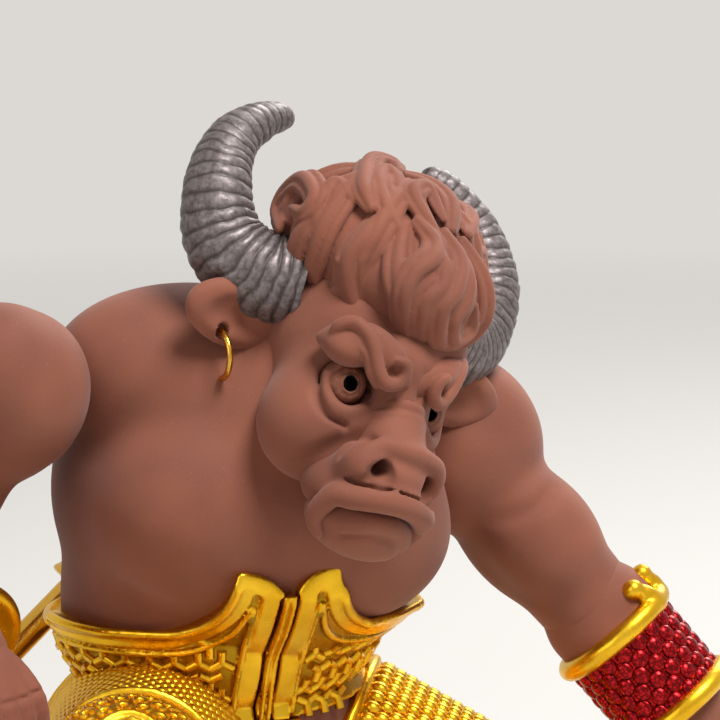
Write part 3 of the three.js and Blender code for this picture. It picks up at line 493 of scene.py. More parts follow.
def ranged(tree, value, low, high, to_low=0.0, to_high=1.0):
    return add_node(tree, "ShaderNodeMapRange", Value=value, From_Min=low, From_Max=high,
                    To_Min=to_low, To_Max=to_high).outputs["Result"]


def depth_of(tree, low, high):
    """How deep the surface lies in a crease, 0 on open faces and 1 in the creases."""
    read = add_node(tree, "ShaderNodeAttribute", {"attribute_name": "hollow"})
    return ranged(tree, read.outputs["Fac"], low, high)


def raised(tree, shader, height, distance_mm, strength=1.0, under=None):
    bump = add_node(tree, "ShaderNodeBump", Height=height, Distance=distance_mm * MM, Strength=strength)
    if under:
        tree.links.new(under.outputs[0], bump.inputs["Normal"])
    tree.links.new(bump.outputs[0], shader.inputs["Normal"])
    return bump


def make_stoneware(settings):
    """Unglazed red stoneware, burnished by hand: matt, soft at the edges, with fine sand in it."""
    finish, tree, shader, place = new_finish("unglazed_stoneware", IOR=1.5, Specular_IOR_Level=0.35,
                                             Sheen_Weight=0.12, Sheen_Roughness=0.6)
    # broad, faint changes of tone from the kiln's fire, about 14 mm wide
    tone = ranged(tree, grit(tree, place, 14, 2), 0.3, 0.7)
    body = blend_colours(tree, tone, settings.clay_dark, settings.clay_light)
    # sand grains of 0.2 mm, drawn a little coarser than real so that they show
    grains = grit(tree, place, 0.22, 2, 0.7)
    body = blend_colours(tree, ranged(tree, grains, 0.62, 0.74, 0, 0.35), body, settings.clay_grain)
    # painted shade, with some clay dust: the clay darkens towards the crease colour where the surface lies
    # deep in a crease
    body = blend_colours(tree, ranged(tree, depth_of(tree, 0.03, 0.22), 0, 1, 0, 0.55), body,
                         settings.clay_crease_dust_and_shade)
    tree.links.new(body, shader.inputs["Base Color"])
    tree.links.new(ranged(tree, grains, 0.3, 0.7, 0.66, 0.84), shader.inputs["Roughness"])
    coarse = raised(tree, shader, grit(tree, place, 1.3, 3), 0.05, 0.5)
    raised(tree, shader, grains, 0.022, 0.6, coarse)
    return finish


def make_gilding(settings):
    """Gilding burnished over modelled clay, in patches of thicker and thinner gold, with painted shade,
    dark brown, in the creases.
    """
    finish, tree, shader, place = new_finish("burnished_gilding", Metallic=1.0)
    # painted shade: the gilding darkens to brown in the creases, where shade falls
    thin = depth_of(tree, 0.02, 0.2)
    patch = ranged(tree, grit(tree, place, 5, 2), 0.35, 0.7)
    colour = blend_colours(tree, patch, settings.gilt_light, settings.gilt_deep)
    colour = blend_colours(tree, ranged(tree, thin, 0, 1, 0, 0.85), colour, settings.gilt_crease_shade)
    tree.links.new(colour, shader.inputs["Base Color"])
    streaks = grit(tree, place, 0.5, 3)
    tree.links.new(ranged(tree, streaks, 0.3, 0.7, 0.26, 0.36), shader.inputs["Roughness"])
    raised(tree, shader, grit(tree, place, 1.4, 2), 0.006, 0.5)
    return finish


def make_lacquer(settings):
    """Red lacquer over metal flake: deep red, glassy on top, with glints from the flake."""
    finish, tree, shader, place = new_finish("flake_red_lacquer", Metallic=0.92, Coat_Weight=0.08,
                                             Coat_Roughness=0.2)
    flake = add_node(tree, "ShaderNodeTexVoronoi", Vector=place, Scale=1000 / 0.35)
    colour = blend_colours(tree, ranged(tree, flake.outputs["Distance"], 0.1, 0.6), settings.lacquer_light,
                           settings.lacquer_deep_and_shade)
    # painted shade: the deep lacquer colour laid into the creases
    colour = blend_colours(tree, depth_of(tree, 0.03, 0.25), colour, settings.lacquer_deep_and_shade)
    tree.links.new(colour, shader.inputs["Base Color"])
    tree.links.new(ranged(tree, grit(tree, place, 0.6), 0.3, 0.7, 0.18, 0.34), shader.inputs["Roughness"])
    raised(tree, shader, flake.outputs["Distance"], 0.03, 0.4)
    return finish


def make_horn_glaze(settings):
    """Silver-grey pearl glaze, brushed on: lighter and darker at random, with painted shade, almost black,
    between the ribs.
    """
    finish, tree, shader, place = new_finish("pearl_horn_glaze", Metallic=0.5, Coat_Weight=0.12,
                                             Coat_Roughness=0.4)
    hair = grit(tree, place, 0.7, 4, 0.65)
    colour = blend_colours(tree, ranged(tree, hair, 0.35, 0.68), settings.horn_dark, settings.horn_light)
    # painted shade, almost black, in the troughs between the ribs
    colour = blend_colours(tree, depth_of(tree, 0.0, 0.12), colour, settings.horn_rib_shade)
    tree.links.new(colour, shader.inputs["Base Color"])
    tree.links.new(ranged(tree, hair, 0.3, 0.7, 0.55, 0.42), shader.inputs["Roughness"])
    raised(tree, shader, hair, 0.05, 0.6)
    return finish


def make_eye_clay(settings):
    """Stoneware rubbed with a pebble: the body's own colour, closed and a little glossy."""
    finish, tree, shader, place = new_finish("pebble_burnished_stoneware", IOR=1.5, Specular_IOR_Level=0.3)
    speck = ranged(tree, grit(tree, place, 0.5, 2), 0.35, 0.7)
    colour = blend_colours(tree, speck, settings.eye_dark, settings.eye_light)
    # painted shadow: near black in the drilled pupil and in the groove round the iris
    colour = blend_colours(tree, depth_of(tree, 0.02, 0.12), colour, "#0c0706")
    tree.links.new(colour, shader.inputs["Base Color"])
    tree.links.new(ranged(tree, speck, 0, 1, 0.5, 0.62), shader.inputs["Roughness"])
    return finish


def make_brass(settings):
    """Brass wire and rod, drawn and polished: warm, with a little cloudy tarnish and faint fine bumps."""
    finish, tree, shader, place = new_finish("polished_brass", Metallic=1.0)
    cloud = ranged(tree, grit(tree, place, 3, 3), 0.35, 0.7, 0, 0.5)
    colour = blend_colours(tree, cloud, settings.brass_light, settings.brass_deep)
    tree.links.new(colour, shader.inputs["Base Color"])
    tree.links.new(ranged(tree, grit(tree, place, 0.4, 2), 0.3, 0.7, 0.16, 0.28),
                   shader.inputs["Roughness"])
    raised(tree, shader, grit(tree, place, 0.6, 2), 0.01, 0.4)
    return finish


FINISHES = {}


def finish_of(name):
    makers = {"clay": make_stoneware, "gilt": make_gilding, "lacquer": make_lacquer,
              "horn": make_horn_glaze, "eye": make_eye_clay, "brass": make_brass}
    if name not in FINISHES:
        FINISHES[name] = makers[name](bpy.context.scene.warrior_colours)
    return FINISHES[name]


# What repeats, in geometry nodes
def new_tree(name, inputs):
    """A geometry tree with a geometry input and output and the named size inputs."""
    tree = bpy.data.node_groups.new(name, "GeometryNodeTree")
    tree.interface.new_socket("Geometry", in_out="INPUT", socket_type="NodeSocketGeometry")
    for label, default in inputs.items():
        kind = "NodeSocketInt" if isinstance(default, int) else "NodeSocketFloat"
        tree.interface.new_socket(label, in_out="INPUT", socket_type=kind).default_value = default
    tree.interface.new_socket("Geometry", in_out="OUTPUT", socket_type="NodeSocketGeometry")
    given = tree.nodes.new("NodeGroupInput")
    return tree, given.outputs


def close_tree(tree, shape, finish):
    """Ends a tree in real, smooth faces with their finish."""
    real = add_node(tree, "GeometryNodeRealizeInstances", Geometry=shape)
    smooth = add_node(tree, "GeometryNodeSetShadeSmooth", Geometry=real.outputs[0])
    done = add_node(tree, "GeometryNodeSetMaterial", Geometry=smooth.outputs[0], Material=finish)
    out = tree.nodes.new("NodeGroupOutput")
    tree.links.new(done.outputs[0], out.inputs[0])


def scale_tree(name, finish, kind):
    """Sets one stamped scale on every point, its back on the surface and its foot downwards."""
    tree, given = new_tree(name, {"Width": 1.0 * MM, "Length": 1.0 * MM, "Height": 0.5 * MM})
    if kind == "bead":
        one = add_node(tree, "GeometryNodeMeshUVSphere", Segments=10, Rings=6, Radius=0.5)
        size = add_node(tree, "ShaderNodeCombineXYZ", X=given["Width"], Y=given["Length"],
                        Z=given["Height"])
        shaped = add_node(tree, "GeometryNodeTransform", Geometry=one.outputs[0], Scale=size.outputs[0])
    else:
        if kind == "star":
            path = add_node(tree, "GeometryNodeJoinGeometry")
            for k in range(3):
                turn = math.radians(-90 + 120 * k)
                end = add_node(tree, "ShaderNodeVectorMath", {"operation": "SCALE"},
                               _0=(math.cos(turn), math.sin(turn), 0), Scale=given["Length"])
                line = add_node(tree, "GeometryNodeCurvePrimitiveLine", End=end.outputs[0])
                tree.links.new(line.outputs[0], path.inputs[0])
        else:
            path = add_node(tree, "GeometryNodeCurveArc", Resolution=9, Radius=given["Length"],
                            Start_Angle=math.radians(-60), Sweep_Angle=math.radians(300))
        ring = add_node(tree, "GeometryNodeCurvePrimitiveCircle", Resolution=6, Radius=given["Width"])
        shaped = add_node(tree, "GeometryNodeCurveToMesh", Curve=path.outputs[0],
                          Profile_Curve=ring.outputs[0], Fill_Caps=True)
    points = add_node(tree, "GeometryNodeMeshToPoints", Mesh=given["Geometry"])
    fields = {}
    for label, sort in (("out", "FLOAT_VECTOR"), ("down", "FLOAT_VECTOR"), ("size", "FLOAT")):
        read = add_node(tree, "GeometryNodeInputNamedAttribute", {"data_type": sort}, Name=label)
        fields[label] = read.outputs[0]
    stand = add_node(tree, "FunctionNodeAlignRotationToVector", {"axis": "Z"}, Vector=fields["out"])
    hang = add_node(tree, "FunctionNodeAlignRotationToVector", {"axis": "Y", "pivot_axis": "Z"},
                    Rotation=stand.outputs[0], Vector=fields["down"])
    set_out = add_node(tree, "GeometryNodeInstanceOnPoints", Points=points.outputs[0],
                       Instance=shaped.outputs[0], Rotation=hang.outputs[0], Scale=fields["size"])
    close_tree(tree, set_out.outputs[0], finish)
    return tree


def grown(name, carrier, tree, values, body, nodes=()):
    """Runs a tree on its carrier and keeps the result as a plain piece."""
    modifier = carrier.modifiers.new("grown", "NODES")
    modifier.node_group = tree
    for item in tree.interface.items_tree:
        if item.item_type == "SOCKET" and item.in_out == "INPUT" and item.name in values:
            modifier[item.identifier] = values[item.name]
    bpy.context.view_layer.update()
    seen = carrier.evaluated_get(bpy.context.evaluated_depsgraph_get())
    mesh = bpy.data.meshes.new_from_object(seen)
    carrier.modifiers.remove(modifier)
    bpy.data.objects.remove(carrier)
    made = placed(name, mesh)
    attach(made, body)
    if nodes:
        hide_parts(*nodes)
    return made


def carrier_of(name, spots, outs, downs, sizes):
    """Bare points with the way out, the way down and a size for each scale."""
    mesh = bpy.data.meshes.new(name)
    mesh.vertices.add(len(spots))
    mesh.vertices.foreach_set("co", (np.array(spots) * MM).astype(np.float32).ravel())
    for label, rows in (("out", outs), ("down", downs)):
        kept = mesh.attributes.new(label, "FLOAT_VECTOR", "POINT")
        kept.data.foreach_set("vector", np.array(rows, np.float32).ravel())
    kept = mesh.attributes.new("size", "FLOAT", "POINT")
    kept.data.foreach_set("value", np.array(sizes, np.float32))
    return placed(name, mesh)


def horn_tree(finish):
    """A ribbed, tapering horn along a curve."""
    tree, given = new_tree("ribbed_horn", {"Base radius": 5.1 * MM, "Tip radius": 1.2 * MM, "Ribs": 13.0,
                                           "Rib height": 0.5 * MM, "Steps": 260, "Sides": 72, "Seed": 3.0})
    even = add_node(tree, "GeometryNodeResampleCurve", Curve=given["Geometry"], Count=given["Steps"])
    along = add_node(tree, "GeometryNodeSplineParameter").outputs[0]

    def calc(operation, a, b=None):
        made = add_node(tree, "ShaderNodeMath", {"operation": operation}, _0=a)
        if b is not None:
            if isinstance(b, bpy.types.NodeSocket):
                tree.links.new(b, made.inputs[1])
            else:
                made.inputs[1].default_value = b
        return made.outputs[0]

    taper = calc("POWER", along, 1.35)
    narrow = calc("SUBTRACT", given["Base radius"], given["Tip radius"])
    radius = calc("SUBTRACT", given["Base radius"], calc("MULTIPLY", taper, narrow))
    tip = calc("POWER", calc("MAXIMUM", calc("SUBTRACT", 1.0, calc("POWER", along, 40.0)), 0.0), 0.5)
    radius = calc("MULTIPLY", radius, tip)
    kept = add_node(tree, "GeometryNodeStoreNamedAttribute", {"data_type": "FLOAT", "domain": "POINT"},
                    Geometry=even.outputs[0], Name="run", Value=along)
    ring = add_node(tree, "GeometryNodeCurvePrimitiveCircle", Resolution=given["Sides"], Radius=1.0)
    tube = add_node(tree, "GeometryNodeCurveToMesh", Curve=kept.outputs[0], Profile_Curve=ring.outputs[0],
                    Scale=radius, Fill_Caps=True)
    run = add_node(tree, "GeometryNodeInputNamedAttribute", {"data_type": "FLOAT"}, Name="run").outputs[0]
    place = add_node(tree, "GeometryNodeInputPosition").outputs[0]
    waver = add_node(tree, "ShaderNodeTexNoise", {"noise_dimensions": "4D"}, Vector=place, W=given["Seed"],
                     Scale=1000 / 6.0, Detail=2.0).outputs[0]
    phase = calc("ADD", calc("MULTIPLY", run, given["Ribs"]), calc("MULTIPLY", waver, 2.4))
    wave = calc("POWER", calc("ABSOLUTE", calc("SINE", calc("MULTIPLY", phase, math.pi))), 0.55)
    fine = add_node(tree, "ShaderNodeTexNoise", {"noise_dimensions": "4D"}, Vector=place, W=given["Seed"],
                    Scale=1000 / 1.6, Detail=3.0).outputs[0]
    fade = calc("SUBTRACT", 1.15, run)
    lift = calc("MULTIPLY", calc("MULTIPLY", calc("SUBTRACT", wave, 0.95), given["Rib height"]), fade)
    lift = calc("ADD", lift, calc("MULTIPLY", calc("SUBTRACT", fine, 0.55), 0.4 * MM))
    normal = add_node(tree, "GeometryNodeInputNormal").outputs[0]
    push = add_node(tree, "ShaderNodeVectorMath", {"operation": "SCALE"}, _0=normal, Scale=lift)
    moved = add_node(tree, "GeometryNodeSetPosition", Geometry=tube.outputs[0], Offset=push.outputs[0])
    # the troughs between the ribs, stored as the hollow that the glaze fills with painted shade
    marked = add_node(tree, "GeometryNodeStoreNamedAttribute", {"data_type": "FLOAT", "domain": "POINT"},
                      Geometry=moved.outputs[0], Name="hollow",
                      Value=calc("MULTIPLY", calc("SUBTRACT", 0.75, wave), 0.25))
    close_tree(tree, marked.outputs[0], finish)
    return tree


def curve_carrier(name, points):
    """A smooth curve through points, as a carrier for a tree."""
    data = bpy.data.curves.new(name, "CURVE")
    data.dimensions = "3D"
    line = data.splines.new("POLY")
    path = curve_through(points, 80)
    line.points.add(len(path) - 1)
    for spot, place in zip(line.points, path):
        spot.co = (*(place * MM), 1)
    return placed(name, data)


# Settings
class WarriorSizes(bpy.types.PropertyGroup):
    body_grain: bpy.props.FloatProperty(name="Body grain", default=0.36, min=0.2, max=2.0,
                                        description="Fineness of the modelled body and limbs, in mm")
    head_grain: bpy.props.FloatProperty(name="Head grain", default=0.24, min=0.15, max=2.0,
                                        description="Fineness of the head, hair and hands, in mm")
    trim_grain: bpy.props.FloatProperty(name="Trim grain", default=0.26, min=0.15, max=2.0,
                                        description="Fineness of the armour's plates and rims, in mm")
    horn_radius: bpy.props.FloatProperty(name="Horn radius", default=5.3 * MM, unit="LENGTH", precision=4,
                                         description="Radius of a horn where it leaves the head")
    horn_ribs: bpy.props.FloatProperty(name="Horn ribs", default=25.0, description="Ribs along a horn")
    scale_pitch: bpy.props.FloatProperty(name="Scale pitch", default=1.75,
                                         description="Spacing of the scales, in mm")
    hoop_radius: bpy.props.FloatProperty(name="Hoop radius", default=2.7 * MM, unit="LENGTH", precision=4,
                                         description="Radius of the earring's hoop")


def colour_property(name, default, description):
    return bpy.props.StringProperty(name=name, default=default, description=description)


class WarriorColours(bpy.types.PropertyGroup):
    clay_light: colour_property("Clay, light", "#94563f", "Fired stoneware where the fire was hottest")
    clay_dark: colour_property("Clay, dark", "#7b4533", "Fired stoneware elsewhere")
    clay_grain: colour_property("Clay grain", "#ae7c66", "Sand grains in the clay")
    # painted shade, with some clay dust, for the clay deep in a crease
    clay_crease_dust_and_shade: colour_property("Clay crease", "#44201a", "The clay deep in a crease")
    gilt_light: colour_property("Gilt, light", "#eebe2e", "Thick gilding")
    gilt_deep: colour_property("Gilt, deep", "#dca51c", "Thin gilding")
    # painted shade: dark brown laid into the gilding's creases and onto the ground under its stamped relief
    gilt_crease_shade: colour_property("Gilt crease", "#5e3a06", "Gilding worn to the ground in the creases")
    lacquer_light: colour_property("Lacquer, light", "#d01a20", "Lacquer over flake")
    # deep lacquer between the flakes, and also the painted shade in the creases
    lacquer_deep_and_shade: colour_property("Lacquer, deep", "#74070c", "Lacquer between the flakes")
    horn_light: colour_property("Horn, light", "#857a79", "Pearl glaze on the ribs")
    horn_dark: colour_property("Horn, dark", "#554b4a", "Pearl glaze where it is thin")
    # painted shade, almost black, between the ribs
    horn_rib_shade: colour_property("Horn crease", "#3f3634", "Dark clay between the ribs")
    eye_light: colour_property("Eye, light", "#935a44", "The eye's clay")
    eye_dark: colour_property("Eye, dark", "#774434", "The eye's clay, in the shade of the lid")
    brass_light: colour_property("Brass, light", "#e0b04a", "Polished brass")
    brass_deep: colour_property("Brass, deep", "#b98222", "Brass with a little tarnish")
    floor: colour_property("Floor", "#dedbd6", "The pale floor")


class WarriorTool:
    """What every builder shares."""
    bl_options = {"REGISTER"}

    def execute(self, context):
        self.build(context.scene.warrior_sizes)
        return {"FINISHED"}


# Head
HAIR = ((-1.5, 3, 11.5), (11.3, 10.3, 8.6)), ((-0.6, -4.2, 9.4), (7.8, 7.2, 6.4))
HAIR_ROOT = (-1, 1, 8)
# Each of a lock's strands, as shares of its width: across, thickness and lift
LOCK_STRANDS = (0.0, 0.6, 0.26), (-0.74, 0.4, 0.04), (0.74, 0.4, 0.04)


def on_hair(x, y, z, lift=0.0):
    """Moves a point of the head's frame onto the mass of the hair."""
    point = np.array((x, y, z), float)
    best = None
    for centre, radii in HAIR:
        gap = (point - centre) / radii
        far = np.linalg.norm(gap)
        spot = np.array(centre) + (point - centre) / far
        if best is None or far < best[0]:
            best = (far, spot)
    return HEAD.at(best[1] + unit(best[1] - HAIR_ROOT) * lift)


class WARRIOR_OT_head(WarriorTool, bpy.types.Operator):
    """Models the skull with its cheeks, eye sockets and lids"""
    bl_idname = "warrior.head"
    bl_label = "Head"

    def build(self, sizes):
        clay = Clay(HEAD.origin - (19, 19, 21), HEAD.origin + (19, 22, 20), sizes.head_grain)
        clay.add(egg(HEAD, (0, 1, 1.5), (11.4, 12, 11.3)))
        for side in SIDES.values():
            clay.add(egg(FACE, (3.9 * side, -5.2, -6.5), 6.8), blend=3.0)
            clay.add(egg(FACE, (5.0 * side, -4.8, -7.6), (5.2, 6.0, 5.6)), blend=2.0)
        clay.add(egg(FACE, (-0.5, -9.6, 2.0), (4.8, 3.4, 3.6)), blend=1.5)
        clay.add(egg(FACE, (0, -8.6, -4), (4.6, 5.4, 5)), blend=2.5)
        for side in SIDES.values():
            clay.cut(egg(FACE, (6.3 * side, -9.0, -2.0), (3.0, 3.1, 2.9)), blend=0.7)
            clay.roll(FACE.along(((8.0, -8.8, -0.1), (8.8, -8.3, -1.9), (8.6, -8.9, -3.4),
                                  (7.6, -10.0, -4.4), (6.2, -10.9, -4.4), (4.9, -11.3, -3.4)), side),
                      (0.35, 0.6, 0.7, 0.7, 0.6, 0.4), blend=0.6)
            clay.score(FACE.along(((9.4, -8.0, -2.2), (9.3, -8.6, -4.0), (8.2, -9.9, -5.6),
                                   (6.2, -11.2, -6.0)), side), (0.15, 0.3, 0.2), blend=0.9)
            clay.score(FACE.along(((4.2, -13.2, -6.4), (6.2, -11.9, -7.9), (7.6, -10.2, -10.2),
                                   (8.0, -8.2, -12.6)), side), (0.4, 0.6, 0.4), blend=1.4)
        for frown in (((-2.6, -13.3, 2.9), (-1.9, -13.5, 1.1), (-1.9, -12.9, -0.8)),
                      ((-0.2, -13.2, 2.9), (0.8, -13.2, 1.2), (0.5, -13.0, -0.4))):
            clay.score(FACE.along(frown), (0.2, 0.35, 0.2), blend=0.7)
        fired("head_modelled", clay, "clay", ["head"])


class WARRIOR_OT_eyes(WarriorTool, bpy.types.Operator):
    """Sets the eyes, with their drilled pupils"""
    bl_idname = "warrior.eyes"
    bl_label = "Eyes"

    def build(self, sizes):
        look = unit((0.02, -0.985, 0.16))
        up = unit(np.cross(look, (1, 0, 0)))
        across = np.cross(up, look)
        for word, side in SIDES.items():
            middle = FACE.at(6.2 * side, -8.2, -2.0)
            clay = Clay(middle - 3.4, middle + 3.4, sizes.head_grain * 0.55)
            clay.add(egg(FACE, (6.2 * side, -8.2, -2.0), 2.55))
            ring = [middle + look * 2.2 + 1.3 * (math.cos(t) * up + math.sin(t) * across)
                    for t in np.linspace(0, 2 * math.pi, 17)]
            clay.score(ring, 0.08, 32, blend=0.2)
            clay.cut(peg(middle + look * 3.4, middle + look * 0.9, 0.82), blend=0.2)

            # the drilled pupil, which takes painted shadow
            def pupil(x, y, z, middle=middle):
                gap = np.array((x, y, z)).T - middle
                off, ahead = np.linalg.norm(np.cross(gap, look), axis=1), gap @ look
                return (off < 0.98) & (ahead < 2.5) & (ahead > 0)

            fired("eye_modelled_" + word, clay, "eye", ["eye_" + word], painted_shade_mask=pupil)


class WARRIOR_OT_muzzle(WarriorTool, bpy.types.Operator):
    """Models the muzzle: bridge, nose pad with nostrils, and the wide turned-down upper lip"""
    bl_idname = "warrior.muzzle"
    bl_label = "Muzzle and jaw"

    def build(self, sizes):
        middle = FACE.at(0, -12, -9)
        clay = Clay(middle - (13, 13, 13), middle + (13, 13, 13), sizes.head_grain * 0.85)
        clay.add(egg(FACE, (0, -9.5, -4.5), (4.4, 5.2, 4.4)))
        clay.add(peg(FACE.at(0, -10.4, -4.6), FACE.at(-0.3, -13.4, -7.2), 3.5, 4.0), blend=1.5)
        clay.add(egg(FACE, (-0.5, -14.4, -9.0), (5.9, 4.1, 2.7)), blend=0.9)
        clay.add(egg(FACE, (0, -11.4, -11.8), (5.6, 5.8, 3.4)), blend=0.8)
        for side in SIDES.values():
            clay.add(egg(FACE, (4.3 * side - 0.6, -14.4, -9.1), (2.4, 3.2, 2.6)), blend=0.9)
            clay.add(egg(FACE, (4.5 * side, -10.8, -12.2), (2.5, 4.2, 3.2)), blend=1.4)
        clay.roll(FACE.along(((-6.3, -15.0, -8.6), (-5.3, -15.4, -7.1), (-3.6, -16.0, -6.1),
                              (-1.6, -16.9, -5.9), (0.8, -17.1, -5.9), (3.2, -16.8, -6.4),
                              (4.8, -16.0, -7.5), (5.4, -15.2, -8.8))),
                  (0.6, 0.9, 1.0, 0.9, 0.9, 1.0, 0.9, 0.6), blend=1.1)
        lip = [(7.0 * s, -13.6 - 4.6 * (1 - s * s) ** 0.8, -13.4 + 2.2 * (1 - s * s))
               for s in np.linspace(-0.95, 0.95, 11)]
        ends = [[(6.6 * s, -12.8, -16.0), (5.5 * s, -13.1, -17.5)] for s in (-1, 1)]
        thick = (0.7, 1.15, 1.35, 1.45, 1.5, 1.5, 1.5, 1.45, 1.35, 1.15, 0.7)
        clay.roll(FACE.along(ends[0][::-1] + lip + ends[1]), thick, blend=0.9)
        for side in SIDES.values():
            shift = -0.6
            clay.cut(egg(FACE, (3.9 * side + shift, -17.7, -9.2), (1.8, 1.3, 1.4)), blend=0.7)
            clay.cut(peg(FACE.at(3.7 * side + shift, -20.0, -9.2), FACE.at(3.0 * side + shift, -14.6, -8.2),
                         1.25, 1.0), blend=0.4)
            clay.score(FACE.along(((4.4, -17.6, -9.6), (5.6, -16.7, -10.3), (6.3, -15.5, -10.5)), side),
                       (0.4, 0.45, 0.2), blend=0.6)
            clay.cut(egg(FACE, (4.9 * side - 0.3, -14.0, -6.3), (1.5, 1.2, 0.75)), blend=0.7)
            clay.score(FACE.along(((5.6, -14.0, -6.4), (6.6, -13.4, -7.6), (7.0, -13.2, -9.0)), side),
                       (0.3, 0.4, 0.2), blend=0.8)
        clay.score(FACE.along(((-6.3, -14.9, -10.9), (-5.2, -16.2, -11.2), (-3.6, -17.3, -10.8),
                               (-1.6, -18.5, -10.4), (1.2, -18.7, -10.4), (3.6, -17.8, -10.6),
                               (5.4, -16.0, -11.0))), (0.2, 0.38, 0.4, 0.36, 0.36, 0.4, 0.2), blend=0.4)
        for lift, wide in ((0, 1.0), (1.15, 0.86)):
            wrinkle = [(4.4 * t * wide, -13.7 + 2.2 * t * t + 0.35 * lift, -2.6 - 1.2 * t * t + lift)
                       for t in (-1, -0.6, -0.2, 0.2, 0.6, 1)]
            clay.roll(FACE.along(wrinkle), (0.3, 0.55, 0.62, 0.62, 0.55, 0.3), blend=0.3)
        fired("muzzle_modelled", clay, "clay", ["muzzle"])
        middle = FACE.at(0.6, -12, -15)
        clay = Clay(middle - (10, 10, 9), middle + (10, 10, 9), sizes.head_grain)
        clay.add(egg(FACE, (0.2, -12.2, -15.3), (6.6, 5.3, 3.9)))
        steps = (-1, -0.5, 0, 0.5, 1)
        lip = [(5.4 * s + 0.2, -17.2 + 3.2 * s * s, -14.0 - 1.6 * s * s) for s in steps]
        clay.roll(FACE.along(lip), (0.7, 1.1, 0.7), blend=0.8)
        crease = [(4.4 * s + 0.3, -17.9 + 2.6 * s * s, -15.6 - 1.2 * s * s) for s in steps]
        clay.score(FACE.along(crease), (0.1, 0.25, 0.1), blend=0.9)
        fired("lower_jaw_modelled", clay, "clay", ["lower_jaw"])


class WARRIOR_OT_brows(WarriorTool, bpy.types.Operator):
    """Rolls the heavy brows with their hooked scrolls and models the ears"""
    bl_idname = "warrior.brows"
    bl_label = "Brows and ears"

    def build(self, sizes):
        for word, side in SIDES.items():
            middle = FACE.at(5.2 * side - 0.9, -9.5, 2)
            clay = Clay(middle - 9.5, middle + 9.5, sizes.head_grain * 0.8)

            def path(points, side=side):
                return [FACE.at(x * side - 0.9, y, z) for x, y, z in points]

            clay.roll(path(((0.9, -11.2, 0.8), (3.6, -11.4, 2.4), (6.0, -10.1, 3.3), (7.8, -8.0, 2.8),
                            (8.6, -6.2, 1.8))), (1.8, 2.05, 2.0, 1.5, 0.8), blend=0.4)
            clay.add(egg(FACE, (7.0 * side - 0.9, -8.6, 1.6), (2.6, 2.6, 1.8)), blend=1.2)
            clay.roll(path(((9.1, -7.9, 2.4), (9.3, -8.6, 3.8), (8.4, -9.7, 4.7), (7.4, -11.1, 4.2),
                            (6.5, -12.1, 2.9), (5.5, -12.8, 1.1), (4.2, -13.3, 0.0), (2.9, -13.6, 0.4),
                            (2.5, -13.8, 1.7), (3.1, -13.9, 2.8), (4.0, -13.4, 2.7))),
                      (0.5, 0.65, 0.72, 0.72, 0.7, 0.72, 0.8, 0.78, 0.66, 0.55, 0.4), 44, blend=0.05)
            clay.roll(path(((8.2, -9.1, 1.7), (7.5, -10.6, 2.5), (6.5, -11.6, 1.9), (5.7, -12.2, 0.5),
                            (4.8, -12.7, -0.7))), (0.4, 0.62, 0.62, 0.6, 0.35), blend=0.05)
            clay.roll(path(((7.6, -9.9, 4.9), (6.0, -11.6, 4.4), (4.8, -12.6, 3.2), (4.2, -13.0, 1.9))),
                      (0.3, 0.5, 0.5, 0.35), blend=0.2)
            clay.cut(egg(FACE, (3.9 * side - 0.9, -13.9, 1.5), (0.7, 1.1, 0.7)), blend=0.25)
            fired("brow_modelled_" + word, clay, "clay", ["brow_" + word], rounds=0)
            self.ear(word, side, sizes)

    def ear(self, word, side, sizes):
        root, tip = HEAD.at(9.6 * side, 3.2, 0.4), HEAD.at(21.2 * side, 3.2, -1.3)
        x = unit(tip - root)
        y = unit(HEAD.axes[:, 1] - x * (HEAD.axes[:, 1] @ x))
        leaf = crossed(root, x, y)
        middle = leaf.at(6, 0, 0)
        clay = Clay(middle - 9, middle + 9, sizes.head_grain)
        clay.add(egg(leaf, (4.9, 0.3, 0), (6.8, 1.5, 4.0)))
        clay.add(egg(leaf, (8.4, 0.2, 0.6 * side), (3.6, 1.1, 2.4)), blend=1.5)
        clay.cut(egg(leaf, (5.2, -2.3, 0), (5.4, 2.3, 2.9)), blend=0.8)
        clay.add(peg(leaf.at(-1, 0.6, 0), leaf.at(2.4, 0.6, 0), 2.6, 1.6), blend=1.5)
        if side < 0:
            clay.cut(peg(EAR_HOLE - EAR_HOLE_WAY * 5, EAR_HOLE + EAR_HOLE_WAY * 5, 0.85), blend=0.2)
        fired("ear_modelled_" + word, clay, "clay", ["ear_" + word])


